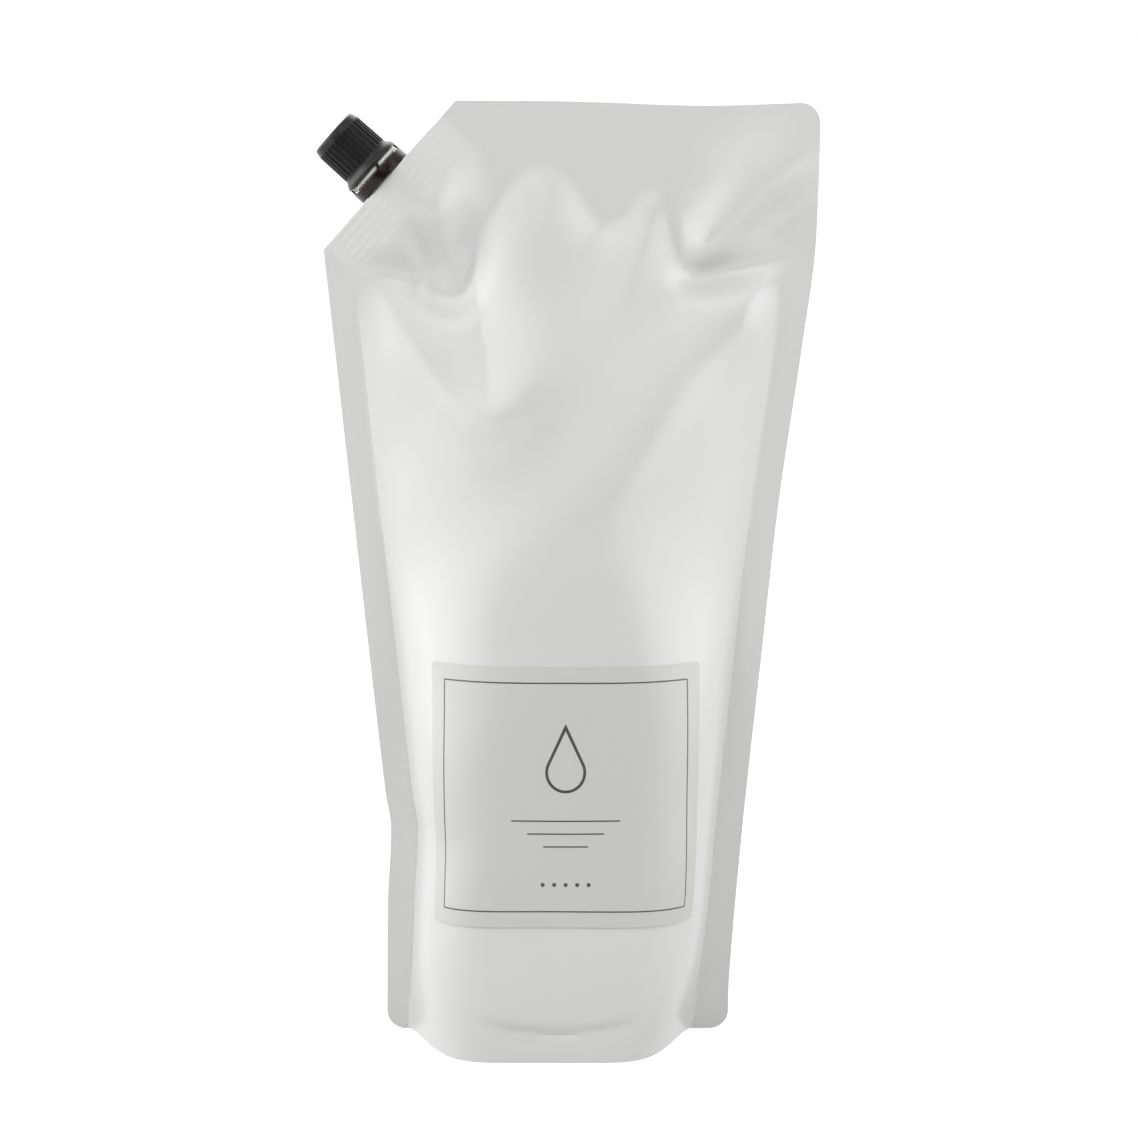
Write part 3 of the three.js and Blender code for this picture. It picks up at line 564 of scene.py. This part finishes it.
def film_rows():
    """Heights of the rows, closer at the round corners."""
    corner = 1 - np.cos(np.linspace(0, math.pi / 2, CORNER_ROWS + 1))
    low = FOOT_CORNER * corner
    high = POUCH_HEIGHT - HEAD_CORNER * corner[::-1]
    count = round((cut_foot - FOOT_CORNER) / ROW_STEP)
    body = np.linspace(FOOT_CORNER, cut_foot, count + 1)
    count = round((high[0] - cut_foot) / ROW_STEP)
    head = np.linspace(cut_foot, high[0], count + 1)
    return np.concatenate([low, body[1:], head[1:], high[1:]])


def between(start, end, share):
    return start[:, None] + (end - start)[:, None] * share[None, :]


def film_columns(z):
    """Places across every row: the seals, and the chamber with closer columns near its sides."""
    left, right = left_limit(z), right_limit(z)
    chamber_left, chamber_right = chamber(z)
    chamber_left = np.where(z > cut_foot, left + SIDE_SEAL, chamber_left)
    seal = np.linspace(0, 1, SEAL_COLUMNS + 1)
    share = (1 - np.cos(math.pi * np.linspace(0, 1, CHAMBER_COLUMNS + 1))) / 2
    parts = [
        between(left, chamber_left, seal[:-1]),
        between(chamber_left, chamber_right, share),
        between(chamber_right, right, seal[1:]),
    ]
    return np.concatenate(parts, axis=1)


def underside(points, front, back):
    """Lines of points from the front rim to the back rim, over the gusset, and the points that they add."""
    inset = np.linspace(0, 1, GROOVE_STEPS + 1)[1:]
    slopes = np.gradient(points[front][:, 1], points[front][:, 0])
    columns, extra = [], []
    for i, (a, b) in enumerate(zip(front, back)):
        rim, far = points[a], points[b]
        reach = (far[1] - rim[1]) / 2
        if reach < NARROWEST_GROOVE:
            columns.append([a] * (GROOVE_STEPS + 1) + [b] * (GROOVE_STEPS + 2))
            continue
        slant = math.hypot(1, slopes[i])
        fit = min(1, reach / (BELLY_INSET * slant + RIM_WIDTH))
        hollow = (inset * BELLY_INSET - RIM_WIDTH) / (BELLY_INSET - RIM_WIDTH)
        rise = GROOVE_DEPTH * fit * np.sin(math.pi * np.clip(hollow, 0, 1) ** GROOVE_LEAN) ** GROOVE_ROUNDNESS
        depth = inset * BELLY_INSET * slant * fit
        start = len(points) + len(extra)
        extra += [(rim[0], rim[1] + d, r) for d, r in zip(depth, rise)]
        extra.append((rim[0], (rim[1] + far[1]) / 2, 0))
        extra += [(rim[0], far[1] - d, r) for d, r in zip(depth[::-1], rise[::-1])]
        columns.append([a] + list(range(start, len(points) + len(extra))) + [b])
    return columns, extra


def face(*ids):
    """A face without the corners that fall together, or none where too few are left."""
    kept = [v for k, v in enumerate(ids) if v != ids[k - 1]]
    return kept if len(set(kept)) == len(kept) and len(kept) > 2 else None


def skin_faces(front, back):
    """Faces of a front and a back skin of like rows, joined at both sides and along the top."""
    top, last = front.shape[0] - 1, front.shape[1] - 1
    faces = []
    for j in range(top):
        for i in range(last):
            faces.append((front[j, i], front[j, i + 1], front[j + 1, i + 1], front[j + 1, i]))
            faces.append((back[j, i + 1], back[j, i], back[j + 1, i], back[j + 1, i + 1]))
        faces.append((back[j, 0], front[j, 0], front[j + 1, 0], back[j + 1, 0]))
        faces.append((front[j, last], back[j, last], back[j + 1, last], front[j + 1, last]))
    for i in range(last):
        faces.append((front[top, i], front[top, i + 1], back[top, i + 1], back[top, i]))
    return faces


def pouch_mesh():
    rows = film_rows()
    across = film_columns(rows)
    up = np.repeat(rows[:, None], across.shape[1], axis=1)
    points = np.concatenate([film_points(s, across, up).reshape(-1, 3) for s in (FRONT, BACK)])
    front = np.arange(across.size).reshape(across.shape)
    back = front + across.size
    faces = skin_faces(front, back)
    columns, extra = underside(points, front[0], back[0])
    for here, beside in zip(columns, columns[1:]):
        for k in range(len(here) - 1):
            quad = face(here[k], here[k + 1], beside[k + 1], beside[k])
            if quad:
                faces.append(quad)
    return np.concatenate([points, np.array(extra)]), faces


def spout_matrix():
    """Frame of the spout: X along the cut, Z out of the pouch, in metres."""
    turn = Matrix.Rotation(-math.atan2(cut_way[1], cut_way[0]), 4, "Y")
    return Matrix.Translation(Vector((spout_seat[0], 0, spout_seat[1])) * MM) @ turn


def at_spout(points):
    matrix = np.array(spout_matrix())
    return np.asarray(points) @ matrix[:3, :3].T + matrix[:3, 3] / MM


def about_axis(rows, turns):
    """A closed skin about the spout's axis, through rows of radius and height with the outside going up.

    A radius is one number, or one for each direction. A row of radius 0 at both ends closes the skin on the
    axis, and otherwise the last row joins the first.
    """
    capped = np.isscalar(rows[0][0]) and rows[0][0] == 0
    rings = rows[1:-1] if capped else rows
    radius = np.stack([np.broadcast_to(r, turns.shape) for r, _ in rings], axis=1)
    height = np.broadcast_to([h for _, h in rings], radius.shape)
    places = [radius * np.cos(turns)[:, None], radius * np.sin(turns)[:, None], height]
    points = np.stack(places, axis=-1).reshape(-1, 3)
    n = len(rings)
    faces = []
    for s in range(len(turns)):
        a, b = s * n, (s + 1) % len(turns) * n
        for k in range(n - 1 if capped else n):
            m = (k + 1) % n
            faces.append((a + k, b + k, b + m, a + m))
        if capped:
            low = len(turns) * n
            faces.append((low, b, a))
            faces.append((low + 1, a + n - 1, b + n - 1))
    if capped:
        points = np.concatenate([points, [(0, 0, rows[0][1]), (0, 0, rows[-1][1])]])
    return points, faces


def full_turn(segments):
    return 2 * math.pi * np.arange(segments) / segments


def arc(center_radius, center_height, radius, start, end, steps):
    """Rows along a round edge, between two angles in degrees counted up from straight out."""
    angles = np.radians(np.linspace(start, end, steps + 1))
    return [(center_radius + radius * math.cos(a), center_height + radius * math.sin(a)) for a in angles]


def join_solid(base, points, faces):
    """Adds a closed solid to a piece, with one skin around both."""
    mesh = bpy.data.meshes.new("joined")
    mesh.from_pydata([tuple(p) for p in np.asarray(points) * MM], [], faces)
    tool = bpy.data.objects.new("joined", mesh)
    scene.collection.objects.link(tool)
    join = base.modifiers.new("join", "BOOLEAN")
    join.operation = "UNION"
    join.solver = "EXACT"
    join.object = tool
    graph = bpy.context.evaluated_depsgraph_get()
    whole = bpy.data.meshes.new_from_object(base.evaluated_get(graph))
    base.modifiers.clear()
    base.data = whole
    bpy.data.objects.remove(tool)


# Materials
def fill(node, values):
    """Sets plain values on the sockets of a node."""
    for socket, value in values.items():
        node.inputs[socket].default_value = value


def principled(name, color, roughness):
    material = bpy.data.materials.new(name)
    material.use_nodes = True
    shader = material.node_tree.nodes["Principled BSDF"]
    fill(shader, {"Base Color": (*color, 1), "Roughness": roughness})
    return material, material.node_tree, shader


def finished(finish):
    """A material with a fine grain and an uneven gloss, its nodes, its shader and its coordinates."""
    name, color, gloss, roughness, (scale, depth, strength) = finish
    material, tree, shader = principled(name, color, roughness[0])
    fill(shader, {"Specular IOR Level": gloss})
    coords = tree.nodes.new("ShaderNodeTexCoord")
    noise = tree.nodes.new("ShaderNodeTexNoise")
    fill(noise, {"Scale": scale, "Detail": GRAIN_DETAIL})
    bump = tree.nodes.new("ShaderNodeBump")
    fill(bump, {"Distance": depth, "Strength": strength})
    tree.links.new(coords.outputs["Object"], noise.inputs["Vector"])
    tree.links.new(noise.outputs["Fac"], bump.inputs["Height"])
    tree.links.new(bump.outputs["Normal"], shader.inputs["Normal"])
    uneven = tree.nodes.new("ShaderNodeMapRange")
    fill(uneven, {"From Min": GRAIN_RANGE[0], "From Max": GRAIN_RANGE[1]})
    fill(uneven, {"To Min": roughness[0], "To Max": roughness[1]})
    tree.links.new(noise.outputs["Fac"], uneven.inputs["Value"])
    tree.links.new(uneven.outputs["Result"], shader.inputs["Roughness"])
    return material, tree, shader, coords


def ramp(tree, value, low, high, to_low, to_high):
    """A smooth change between two values, as a socket."""
    node = tree.nodes.new("ShaderNodeMapRange")
    node.interpolation_type = "SMOOTHSTEP"
    fill(node, {"From Min": low, "From Max": high, "To Min": to_low, "To Max": to_high})
    tree.links.new(value, node.inputs["Value"])
    return node.outputs["Result"]


def math_node(tree, operation, first, second=None, third=None):
    """One sum, as a socket; each term is a socket or a number."""
    node = tree.nodes.new("ShaderNodeMath")
    node.operation = operation
    for socket, term in zip(node.inputs, (first, second, third)):
        if isinstance(term, (int, float)):
            socket.default_value = term
        elif term is not None:
            tree.links.new(term, socket)
    return node.outputs[0]


def along_way(tree, coords, way):
    """Distance of a place along a direction in the plane of the pouch, counted from the spout."""
    away = tree.nodes.new("ShaderNodeVectorMath")
    away.operation = "SUBTRACT"
    away.inputs[1].default_value = (spout_seat[0] * MM, 0, spout_seat[1] * MM)
    tree.links.new(coords.outputs["Object"], away.inputs[0])
    along = tree.nodes.new("ShaderNodeVectorMath")
    along.operation = "DOT_PRODUCT"
    along.inputs[1].default_value = (way[0], 0, way[1])
    tree.links.new(away.outputs[0], along.inputs[0])
    return along.outputs["Value"]


def film_material():
    """Satin film, with the lines of the weld over the ribs of the boat."""
    material, tree, shader, coords = finished(FILM_FINISH)
    inside = along_way(tree, coords, (cut_way[1], -cut_way[0]))
    along = math_node(tree, "ABSOLUTE", along_way(tree, coords, cut_way))
    pitch = (BOAT_DEPTH - BOAT_RIB_HEIGHT) / (BOAT_RIBS - 1) * MM
    wave = math_node(tree, "SINE", math_node(tree, "MULTIPLY", inside, 2 * math.pi / pitch))
    reach = ramp(tree, inside, BOAT_DEPTH * MM, (BOAT_DEPTH + WELD_LINE_FADE) * MM, 1, 0)
    sides = ramp(tree, along, WELD_LINE_HALF * MM, (WELD_LINE_HALF + WELD_LINE_FADE) * MM, 1, 0)
    lines = tree.nodes.new("ShaderNodeBump")
    fill(lines, {"Distance": WELD_LINE_STAND * MM})
    height = math_node(tree, "MULTIPLY", wave, math_node(tree, "MULTIPLY", reach, sides))
    tree.links.new(height, lines.inputs["Height"])
    tree.links.new(shader.inputs["Normal"].links[0].from_socket, lines.inputs["Normal"])
    tree.links.new(lines.outputs["Normal"], shader.inputs["Normal"])
    return material


def drop_mask(tree, u, v, radius, height):
    """1 inside a drop: a round foot and straight sides up to its tip."""
    rise = math_node(tree, "SUBTRACT", v, DROP_FOOT)
    square = math_node(tree, "MULTIPLY_ADD", u, u, math_node(tree, "MULTIPLY", rise, rise))
    foot = math_node(tree, "LESS_THAN", square, radius**2)
    slope = math.tan(math.asin(radius / height))
    side = math_node(tree, "MULTIPLY", math_node(tree, "SUBTRACT", height, rise), slope)
    within = math_node(tree, "LESS_THAN", math_node(tree, "ABSOLUTE", u), side)
    above = math_node(tree, "GREATER_THAN", rise, radius**2 / height)
    return math_node(tree, "MAXIMUM", foot, math_node(tree, "MULTIPLY", within, above))


def label_print(tree):
    """1 where the label is printed: a thin frame, the outline of a drop, short rules and a row of dots."""
    sheet = tree.nodes.new("ShaderNodeUVMap")
    sheet.uv_map = SHEET_MAP
    split = tree.nodes.new("ShaderNodeSeparateXYZ")
    tree.links.new(sheet.outputs["UV"], split.inputs[0])
    u = math_node(tree, "MULTIPLY_ADD", split.outputs["X"], LABEL_WIDTH, -LABEL_WIDTH / 2)
    v = math_node(tree, "MULTIPLY_ADD", split.outputs["Y"], LABEL_HEIGHT, -LABEL_HEIGHT / 2)
    wide, high = LABEL_WIDTH / 2 - PRINT_INSET, LABEL_HEIGHT / 2 - PRINT_INSET
    line = PRINT_LINE / 2
    bars = [(0, side * high, wide, line) for side in (-1, 1)]
    bars += [(side * wide, 0, line, high) for side in (-1, 1)]
    bars += [(0, RULES_TOP - k * RULE_STEP, half, line) for k, half in enumerate(RULE_HALVES)]
    marks = math_node(
        tree, "SUBTRACT", drop_mask(tree, u, v, DROP_RADIUS, DROP_HEIGHT),
        drop_mask(tree, u, v, DROP_RADIUS - DROP_LINE, DROP_HEIGHT - DROP_TIP_LINE))
    for at_u, at_v, half_u, half_v in bars:
        across = math_node(tree, "COMPARE", u, at_u, half_u)
        bar = math_node(tree, "MULTIPLY", across, math_node(tree, "COMPARE", v, at_v, half_v))
        marks = math_node(tree, "MAXIMUM", marks, bar)
    for k in range(DOTS):
        du = math_node(tree, "SUBTRACT", u, (k - (DOTS - 1) / 2) * DOT_STEP)
        dv = math_node(tree, "SUBTRACT", v, DOTS_PLACE)
        square = math_node(tree, "MULTIPLY_ADD", du, du, math_node(tree, "MULTIPLY", dv, dv))
        marks = math_node(tree, "MAXIMUM", marks, math_node(tree, "LESS_THAN", square, DOT_RADIUS**2))
    return marks


def label_material():
    material, tree, shader, _ = finished(LABEL_FINISH)
    ink = tree.nodes.new("ShaderNodeMix")
    ink.data_type = "RGBA"
    fill(ink, {"A": (*LABEL_FINISH[1], 1), "B": (*INK_COLOR, 1)})
    tree.links.new(label_print(tree), ink.inputs["Factor"])
    tree.links.new(ink.outputs["Result"], shader.inputs["Base Color"])
    return material


def cap_material():
    return finished(CAP_FINISH)[0]


def ring_material():
    material, _, shader, _ = finished(RING_FINISH)
    fill(shader, {"Specular Tint": (*RING_TINT, 1)})
    return material


def spout_material():
    material, _, shader, _ = finished(SPOUT_FINISH)
    fill(shader, {"Subsurface Weight": SPOUT_MILKINESS, "Subsurface Scale": SPOUT_MILK_SCALE})
    fill(shader, {"Subsurface Radius": SPOUT_MILK_RADIUS})
    return material


def liner_material():
    return finished(LINER_FINISH)[0]


# Pieces
def make_pouch():
    points, faces = pouch_mesh()
    made = new_object("film_pouch", points, faces, film_material(), "pack")
    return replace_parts(made, "pouch")


def label_places(heights, reach):
    """Places across the label, spaced along the curved film, so that the sheet keeps its width."""
    offsets = np.linspace(-LABEL_WIDTH / 2, LABEL_WIDTH / 2, 2 * LABEL_COLUMNS + 1)
    rows = []
    for z, half in zip(heights, reach):
        line = film_points(FRONT, LABEL_SHIFT + offsets, np.full(offsets.shape, z))
        run = np.concatenate([[0], np.cumsum(np.linalg.norm(np.diff(line, axis=0), axis=1))])
        run -= run[LABEL_COLUMNS]
        rows.append(np.interp(np.linspace(-half, half, LABEL_COLUMNS + 1), run, line[:, 0]))
    return np.array(rows)


def film_normals(x, z):
    """Places on the front film, and the directions straight out of it."""
    here = film_points(FRONT, x, z)
    over = film_points(FRONT, x + NORMAL_STEP, z) - here
    up = film_points(FRONT, x, z + NORMAL_STEP) - here
    normal = np.cross(over, up)
    return here, normal / np.linalg.norm(normal, axis=-1, keepdims=True)


def add_sheet_map(made, share):
    """Stores where each corner lies on the flat sheet, as shares of its width and height."""
    corners = np.zeros(len(made.data.loops), int)
    made.data.loops.foreach_get("vertex_index", corners)
    sheet = made.data.uv_layers.new(name=SHEET_MAP)
    sheet.uv.foreach_set("vector", share[corners].astype(np.float32).ravel())


def make_label():
    corner = LABEL_CORNER * (1 - np.cos(np.linspace(0, math.pi / 2, CORNER_ROWS + 1)))
    middle = np.linspace(LABEL_CORNER, LABEL_HEIGHT - LABEL_CORNER, LABEL_ROWS + 1)
    rise = np.concatenate([corner[:-1], middle, LABEL_HEIGHT - corner[-2::-1]])
    reach = LABEL_WIDTH / 2 - corner_inset(np.minimum(rise, LABEL_HEIGHT - rise), LABEL_CORNER)
    x = label_places(LABEL_FOOT + rise, reach)
    up = np.repeat(rise[:, None], LABEL_COLUMNS + 1, axis=1)
    here, normal = film_normals(x, LABEL_FOOT + up)
    skins = [here + normal * (FIT_GAP + LABEL_THICKNESS), here + normal * LABEL_GLUE]
    front = np.arange(x.size).reshape(x.shape)
    back = front + x.size
    faces = skin_faces(front, back)
    for i in range(LABEL_COLUMNS):
        faces.append((back[0, i], back[0, i + 1], front[0, i + 1], front[0, i]))
    points = np.concatenate([skin.reshape(-1, 3) for skin in skins])
    made = new_object("label_sheet", points, faces, label_material(), "pack")
    across = np.repeat(np.linspace(0, 1, LABEL_COLUMNS + 1)[None, :], len(rise), axis=0)
    share = np.stack([across, up / LABEL_HEIGHT], axis=-1).reshape(-1, 2)
    add_sheet_map(made, np.concatenate([share, share]))
    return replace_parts(made, "front_label")


def boat_reach(turns, shrink):
    """Distance from the axis to the outline of the boat, in each direction."""
    half, length = boat_half_thickness - shrink, BOAT_HALF_LENGTH - shrink
    across = np.abs(np.sin(turns))
    bow = half * (np.cos(turns) / length) ** 2
    return 2 * half / (across + np.sqrt(across**2 + 4 * bow * half))


def thread_stand(turns, height):
    """How far the thread stands out of the neck."""
    place = (height - bead_top) / THREAD_PITCH - turns / (2 * math.pi)
    off = np.abs(place - np.round(place)) * THREAD_PITCH
    low, high = bead_top + THREAD_HALF_WIDTH, NECK_TOP - NECK_EDGE - THREAD_HALF_WIDTH
    ends = smooth_step(0, THREAD_HALF_WIDTH, min(height - low, high - height) + THREAD_HALF_WIDTH)
    return THREAD_STAND * ends * smooth_step(0, THREAD_FLANK, THREAD_HALF_WIDTH - off)


def make_spout():
    turns = full_turn(SPOUT_SEGMENTS)
    core = NECK_RADIUS - THREAD_STAND
    rows = [(BORE_RADIUS, -BOAT_DEPTH)]
    for k in range(BOAT_RIBS):
        foot = -BOAT_DEPTH + (BOAT_DEPTH - BOAT_RIB_HEIGHT) * k / (BOAT_RIBS - 1)
        head = foot + BOAT_RIB_HEIGHT
        rim = [(0, foot), (0, head if k < BOAT_RIBS - 1 else BOAT_PROUD)]
        web = [(BOAT_RIB_STAND, head)] if k < BOAT_RIBS - 1 else []
        web_foot = [(BOAT_RIB_STAND, foot)] if k else []
        rows += [(boat_reach(turns, shrink), h) for shrink, h in web_foot + rim + web]
    rows += [(COLLAR_RADIUS, BOAT_PROUD), (COLLAR_RADIUS, bead_foot)]
    rows += arc(BEAD_RADIUS - NECK_EDGE, bead_foot + NECK_EDGE, NECK_EDGE, -90, 0, NECK_EDGE_STEPS)
    rows += arc(BEAD_RADIUS - NECK_EDGE, bead_top - NECK_EDGE, NECK_EDGE, 0, 90, NECK_EDGE_STEPS)
    for height in np.arange(bead_top, NECK_TOP - NECK_EDGE, THREAD_STEP):
        rows.append((core + thread_stand(turns, height), height))
    rows += arc(core - NECK_EDGE, NECK_TOP - NECK_EDGE, NECK_EDGE, 0, 90, NECK_EDGE_STEPS)
    rows.append((BORE_RADIUS, NECK_TOP))
    points, faces = about_axis(rows, turns)
    made = new_object("pour_spout", at_spout(points), faces, spout_material(), "pack")
    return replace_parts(made, "spout")


def bridge(turn):
    """One slanted bridge between ring and cap, as corners and faces."""
    outer = RING_RADIUS - RING_EDGE
    low, high = ring_top - RING_EDGE, cap_foot - BRIDGE_GAP
    corners = []
    ends = [(low, BRIDGE_FOOT_WIDTH, -BRIDGE_SLANT), (high, BRIDGE_HEAD_WIDTH, BRIDGE_SLANT)]
    for height, width, shift in ends:
        for radius, side in ((outer - BRIDGE_DEPTH, -1), (outer, -1), (outer, 1), (outer - BRIDGE_DEPTH, 1)):
            across = shift + side * width / 2
            x = radius * math.cos(turn) - across * math.sin(turn)
            y = radius * math.sin(turn) + across * math.cos(turn)
            corners.append((x, y, height))
    faces = [(3, 2, 1, 0), (4, 5, 6, 7)] + [(k, (k + 1) % 4, (k + 1) % 4 + 4, k + 4) for k in range(4)]
    return corners, faces


def make_ring():
    outer = RING_RADIUS - RING_EDGE
    rows = [(RING_BORE, ring_foot)]
    rows += arc(outer, ring_foot + RING_EDGE, RING_EDGE, -90, 0, RING_EDGE_STEPS)
    rows += arc(outer, ring_top - RING_EDGE, RING_EDGE, 0, 90, RING_EDGE_STEPS)
    rows.append((RING_BORE, ring_top))
    points, faces = about_axis(rows, full_turn(RING_SEGMENTS))
    made = new_object("break_ring", at_spout(points), faces, ring_material(), "pack")
    for k in range(BRIDGES):
        corners, sides = bridge(math.radians(BRIDGE_TURN) + 2 * math.pi * k / BRIDGES)
        join_solid(made, at_spout(corners), sides)
    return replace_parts(made, "tamper_ring")


def flute(turns, height):
    """How deep the flutes of the grip are cut, with round ends."""
    place = turns * GRIP_RIBS / (2 * math.pi)
    off = np.abs(place - np.round(place)) * 2 / FLUTE_SHARE
    bow = np.maximum(1 - off**2, 0)
    half_width = FLUTE_SHARE * math.pi * GRIP_RADIUS / GRIP_RIBS
    short = half_width * (1 - np.sqrt(bow))
    above = smooth_step(0, FLUTE_END, flute_top - short - height)
    below = smooth_step(0, FLUTE_END, height - flare_top - short)
    return FLUTE_DEPTH * bow * above * below


def make_cap():
    turns = full_turn(GRIP_RIBS * RIB_SEGMENTS)
    rows = [(0, roof_inside), (cap_bore, roof_inside), (cap_bore, flare_top)]
    skirt_bore = SKIRT_RADIUS - SKIRT_WALL
    rows += [(skirt_bore, cap_foot + LIP_EDGE), (skirt_bore + LIP_EDGE, cap_foot)]
    rows += arc(SKIRT_RADIUS - LIP_EDGE, cap_foot + LIP_EDGE, LIP_EDGE, -90, 0, LIP_EDGE_STEPS)
    for share in np.linspace(0, 1, FLARE_STEPS + 1):
        radius = SKIRT_RADIUS + (GRIP_RADIUS - SKIRT_RADIUS) * smooth_step(0, 1, share)
        rows.append((float(radius), cap_foot + SKIRT_LIP + (FLARE_HEIGHT - SKIRT_LIP) * share))
    ends = np.linspace(0, FLUTE_END_REACH, FLUTE_END_STEPS + 1)
    middle = np.linspace(flare_top + FLUTE_END_REACH, flute_top - FLUTE_END_REACH, FLUTE_STEPS + 1)[1:-1]
    for height in np.concatenate([flare_top + ends[1:], middle, flute_top - ends[::-1]]):
        taper = GRIP_TAPER * (height - flare_top) / GRIP_HEIGHT
        rows.append((GRIP_RADIUS - taper - flute(turns, height), height))
    edge_foot = cap_top - CROWN_EDGE
    rows += arc(CROWN_RADIUS - CROWN_EDGE, edge_foot, CROWN_EDGE, CROWN_EDGE_START, 90, CROWN_EDGE_STEPS)
    rows += [(CROWN_DISH_RADIUS, cap_top), (CROWN_DISH_RADIUS - CROWN_DISH, cap_top - CROWN_DISH)]
    rows.append((0, cap_top - CROWN_DISH))
    points, faces = about_axis(rows, turns)
    made = new_object("ribbed_cap", at_spout(points), faces, cap_material(), "cap")
    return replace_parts(made, "screw_cap")


def make_plain(node, material):
    """A CAD node that keeps its own mesh gets a finished material."""
    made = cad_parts[node]
    made.data.materials.clear()
    made.data.materials.append(material)
    return made


# Camera, floor and light
def make_camera():
    data = bpy.data.cameras.new("camera")
    data.sensor_width = CAMERA_SENSOR
    data.lens = CAMERA_LENS
    camera = bpy.data.objects.new("camera", data)
    camera.location = Vector(CAMERA_PLACE) * MM
    camera.rotation_euler = (math.radians(90 - CAMERA_PITCH), 0, 0)
    scene.collection.objects.link(camera)
    scene.camera = camera


def seen_rays(tree):
    """1 for camera, glossy and transmission rays, which see the white studio; 0 for the light that falls."""
    path = tree.nodes.new("ShaderNodeLightPath")
    seen = path.outputs["Is Camera Ray"]
    for kind in ("Is Glossy Ray", "Is Transmission Ray"):
        seen = math_node(tree, "MAXIMUM", seen, path.outputs[kind])
    return seen


def new_card(name, corners, material):
    """A flat card of the studio."""
    mesh = bpy.data.meshes.new(name)
    mesh.from_pydata(corners, [], [(0, 1, 2, 3)])
    mesh.materials.append(material)
    card = bpy.data.objects.new(name, mesh)
    scene.collection.objects.link(card)
    return card


def floor_material():
    """Pale floor, with a glow for the rays that see it, which rises to white away from the pouch."""
    material, tree, shader = principled("pale_floor", FLOOR_COLOR, CARD_ROUGHNESS)
    coords = tree.nodes.new("ShaderNodeTexCoord")
    distance = tree.nodes.new("ShaderNodeVectorMath")
    distance.operation = "LENGTH"
    tree.links.new(coords.outputs["Object"], distance.inputs[0])
    glow = tree.nodes.new("ShaderNodeMapRange")
    fill(glow, {"From Min": FLOOR_GLOW_REACH[0], "From Max": FLOOR_GLOW_REACH[1]})
    fill(glow, {"To Min": FLOOR_GLOW, "To Max": 1})
    tree.links.new(distance.outputs["Value"], glow.inputs["Value"])
    strength = math_node(tree, "MULTIPLY", glow.outputs["Result"], seen_rays(tree))
    fill(shader, {"Emission Color": (1, 1, 1, 1)})
    tree.links.new(strength, shader.inputs["Emission Strength"])
    return material


def make_floor():
    half = FLOOR_HALF
    corners = [(-half, -half, 0), (half, -half, 0), (half, half, 0), (-half, half, 0)]
    floor = new_card("floor", corners, floor_material())


def make_box_light(name, azimuth, elevation, size, radiance):
    """A soft box that faces the pouch; azimuth is counted from the camera's side towards the right."""
    data = bpy.data.lights.new(name, "AREA")
    data.shape = "RECTANGLE"
    data.size, data.size_y = size
    data.energy = radiance * math.pi * size[0] * size[1]
    light = bpy.data.objects.new(name, data)
    turn, rise = math.radians(azimuth), math.radians(elevation)
    way = Vector((math.sin(turn) * math.cos(rise), -math.cos(turn) * math.cos(rise), math.sin(rise)))
    light.location = Vector(LIGHT_TARGET) + way * LIGHT_DISTANCE
    light.rotation_euler = (-way).to_track_quat("-Z", "Y").to_euler()
    scene.collection.objects.link(light)


def make_flag():
    """A dark card behind the camera, seen in reflections only, so that the satin film has contrast."""
    half, depth, high = FLAG_SIZE
    corners = [(-half, -depth, 0), (half, -depth, 0), (half, -depth, high), (-half, -depth, high)]
    flag = new_card("flag", corners, principled("dark_card", FLAG_COLOR, CARD_ROUGHNESS)[0])
    flag.visible_camera = False
    flag.visible_diffuse = False
    flag.visible_shadow = False
    flag.visible_transmission = False


def make_world():
    """White for every ray that is seen, and a plain soft fill for the light that falls."""
    world = bpy.data.worlds.new("studio")
    scene.world = world
    world.use_nodes = True
    tree = world.node_tree
    background = tree.nodes["Background"]
    fill(background, {"Color": (1, 1, 1, 1)})
    strength = tree.nodes.new("ShaderNodeMapRange")
    fill(strength, {"To Min": WORLD_FILL, "To Max": 1})
    tree.links.new(seen_rays(tree), strength.inputs["Value"])
    tree.links.new(strength.outputs["Result"], background.inputs["Strength"])


make_camera()
make_pouch()
make_label()
make_spout()
make_ring()
make_cap()
make_plain("cap_liner", liner_material())
make_floor()
make_world()
for box_light in BOX_LIGHTS:
    make_box_light(*box_light)
make_flag()
scene.view_settings.view_transform = "Standard"
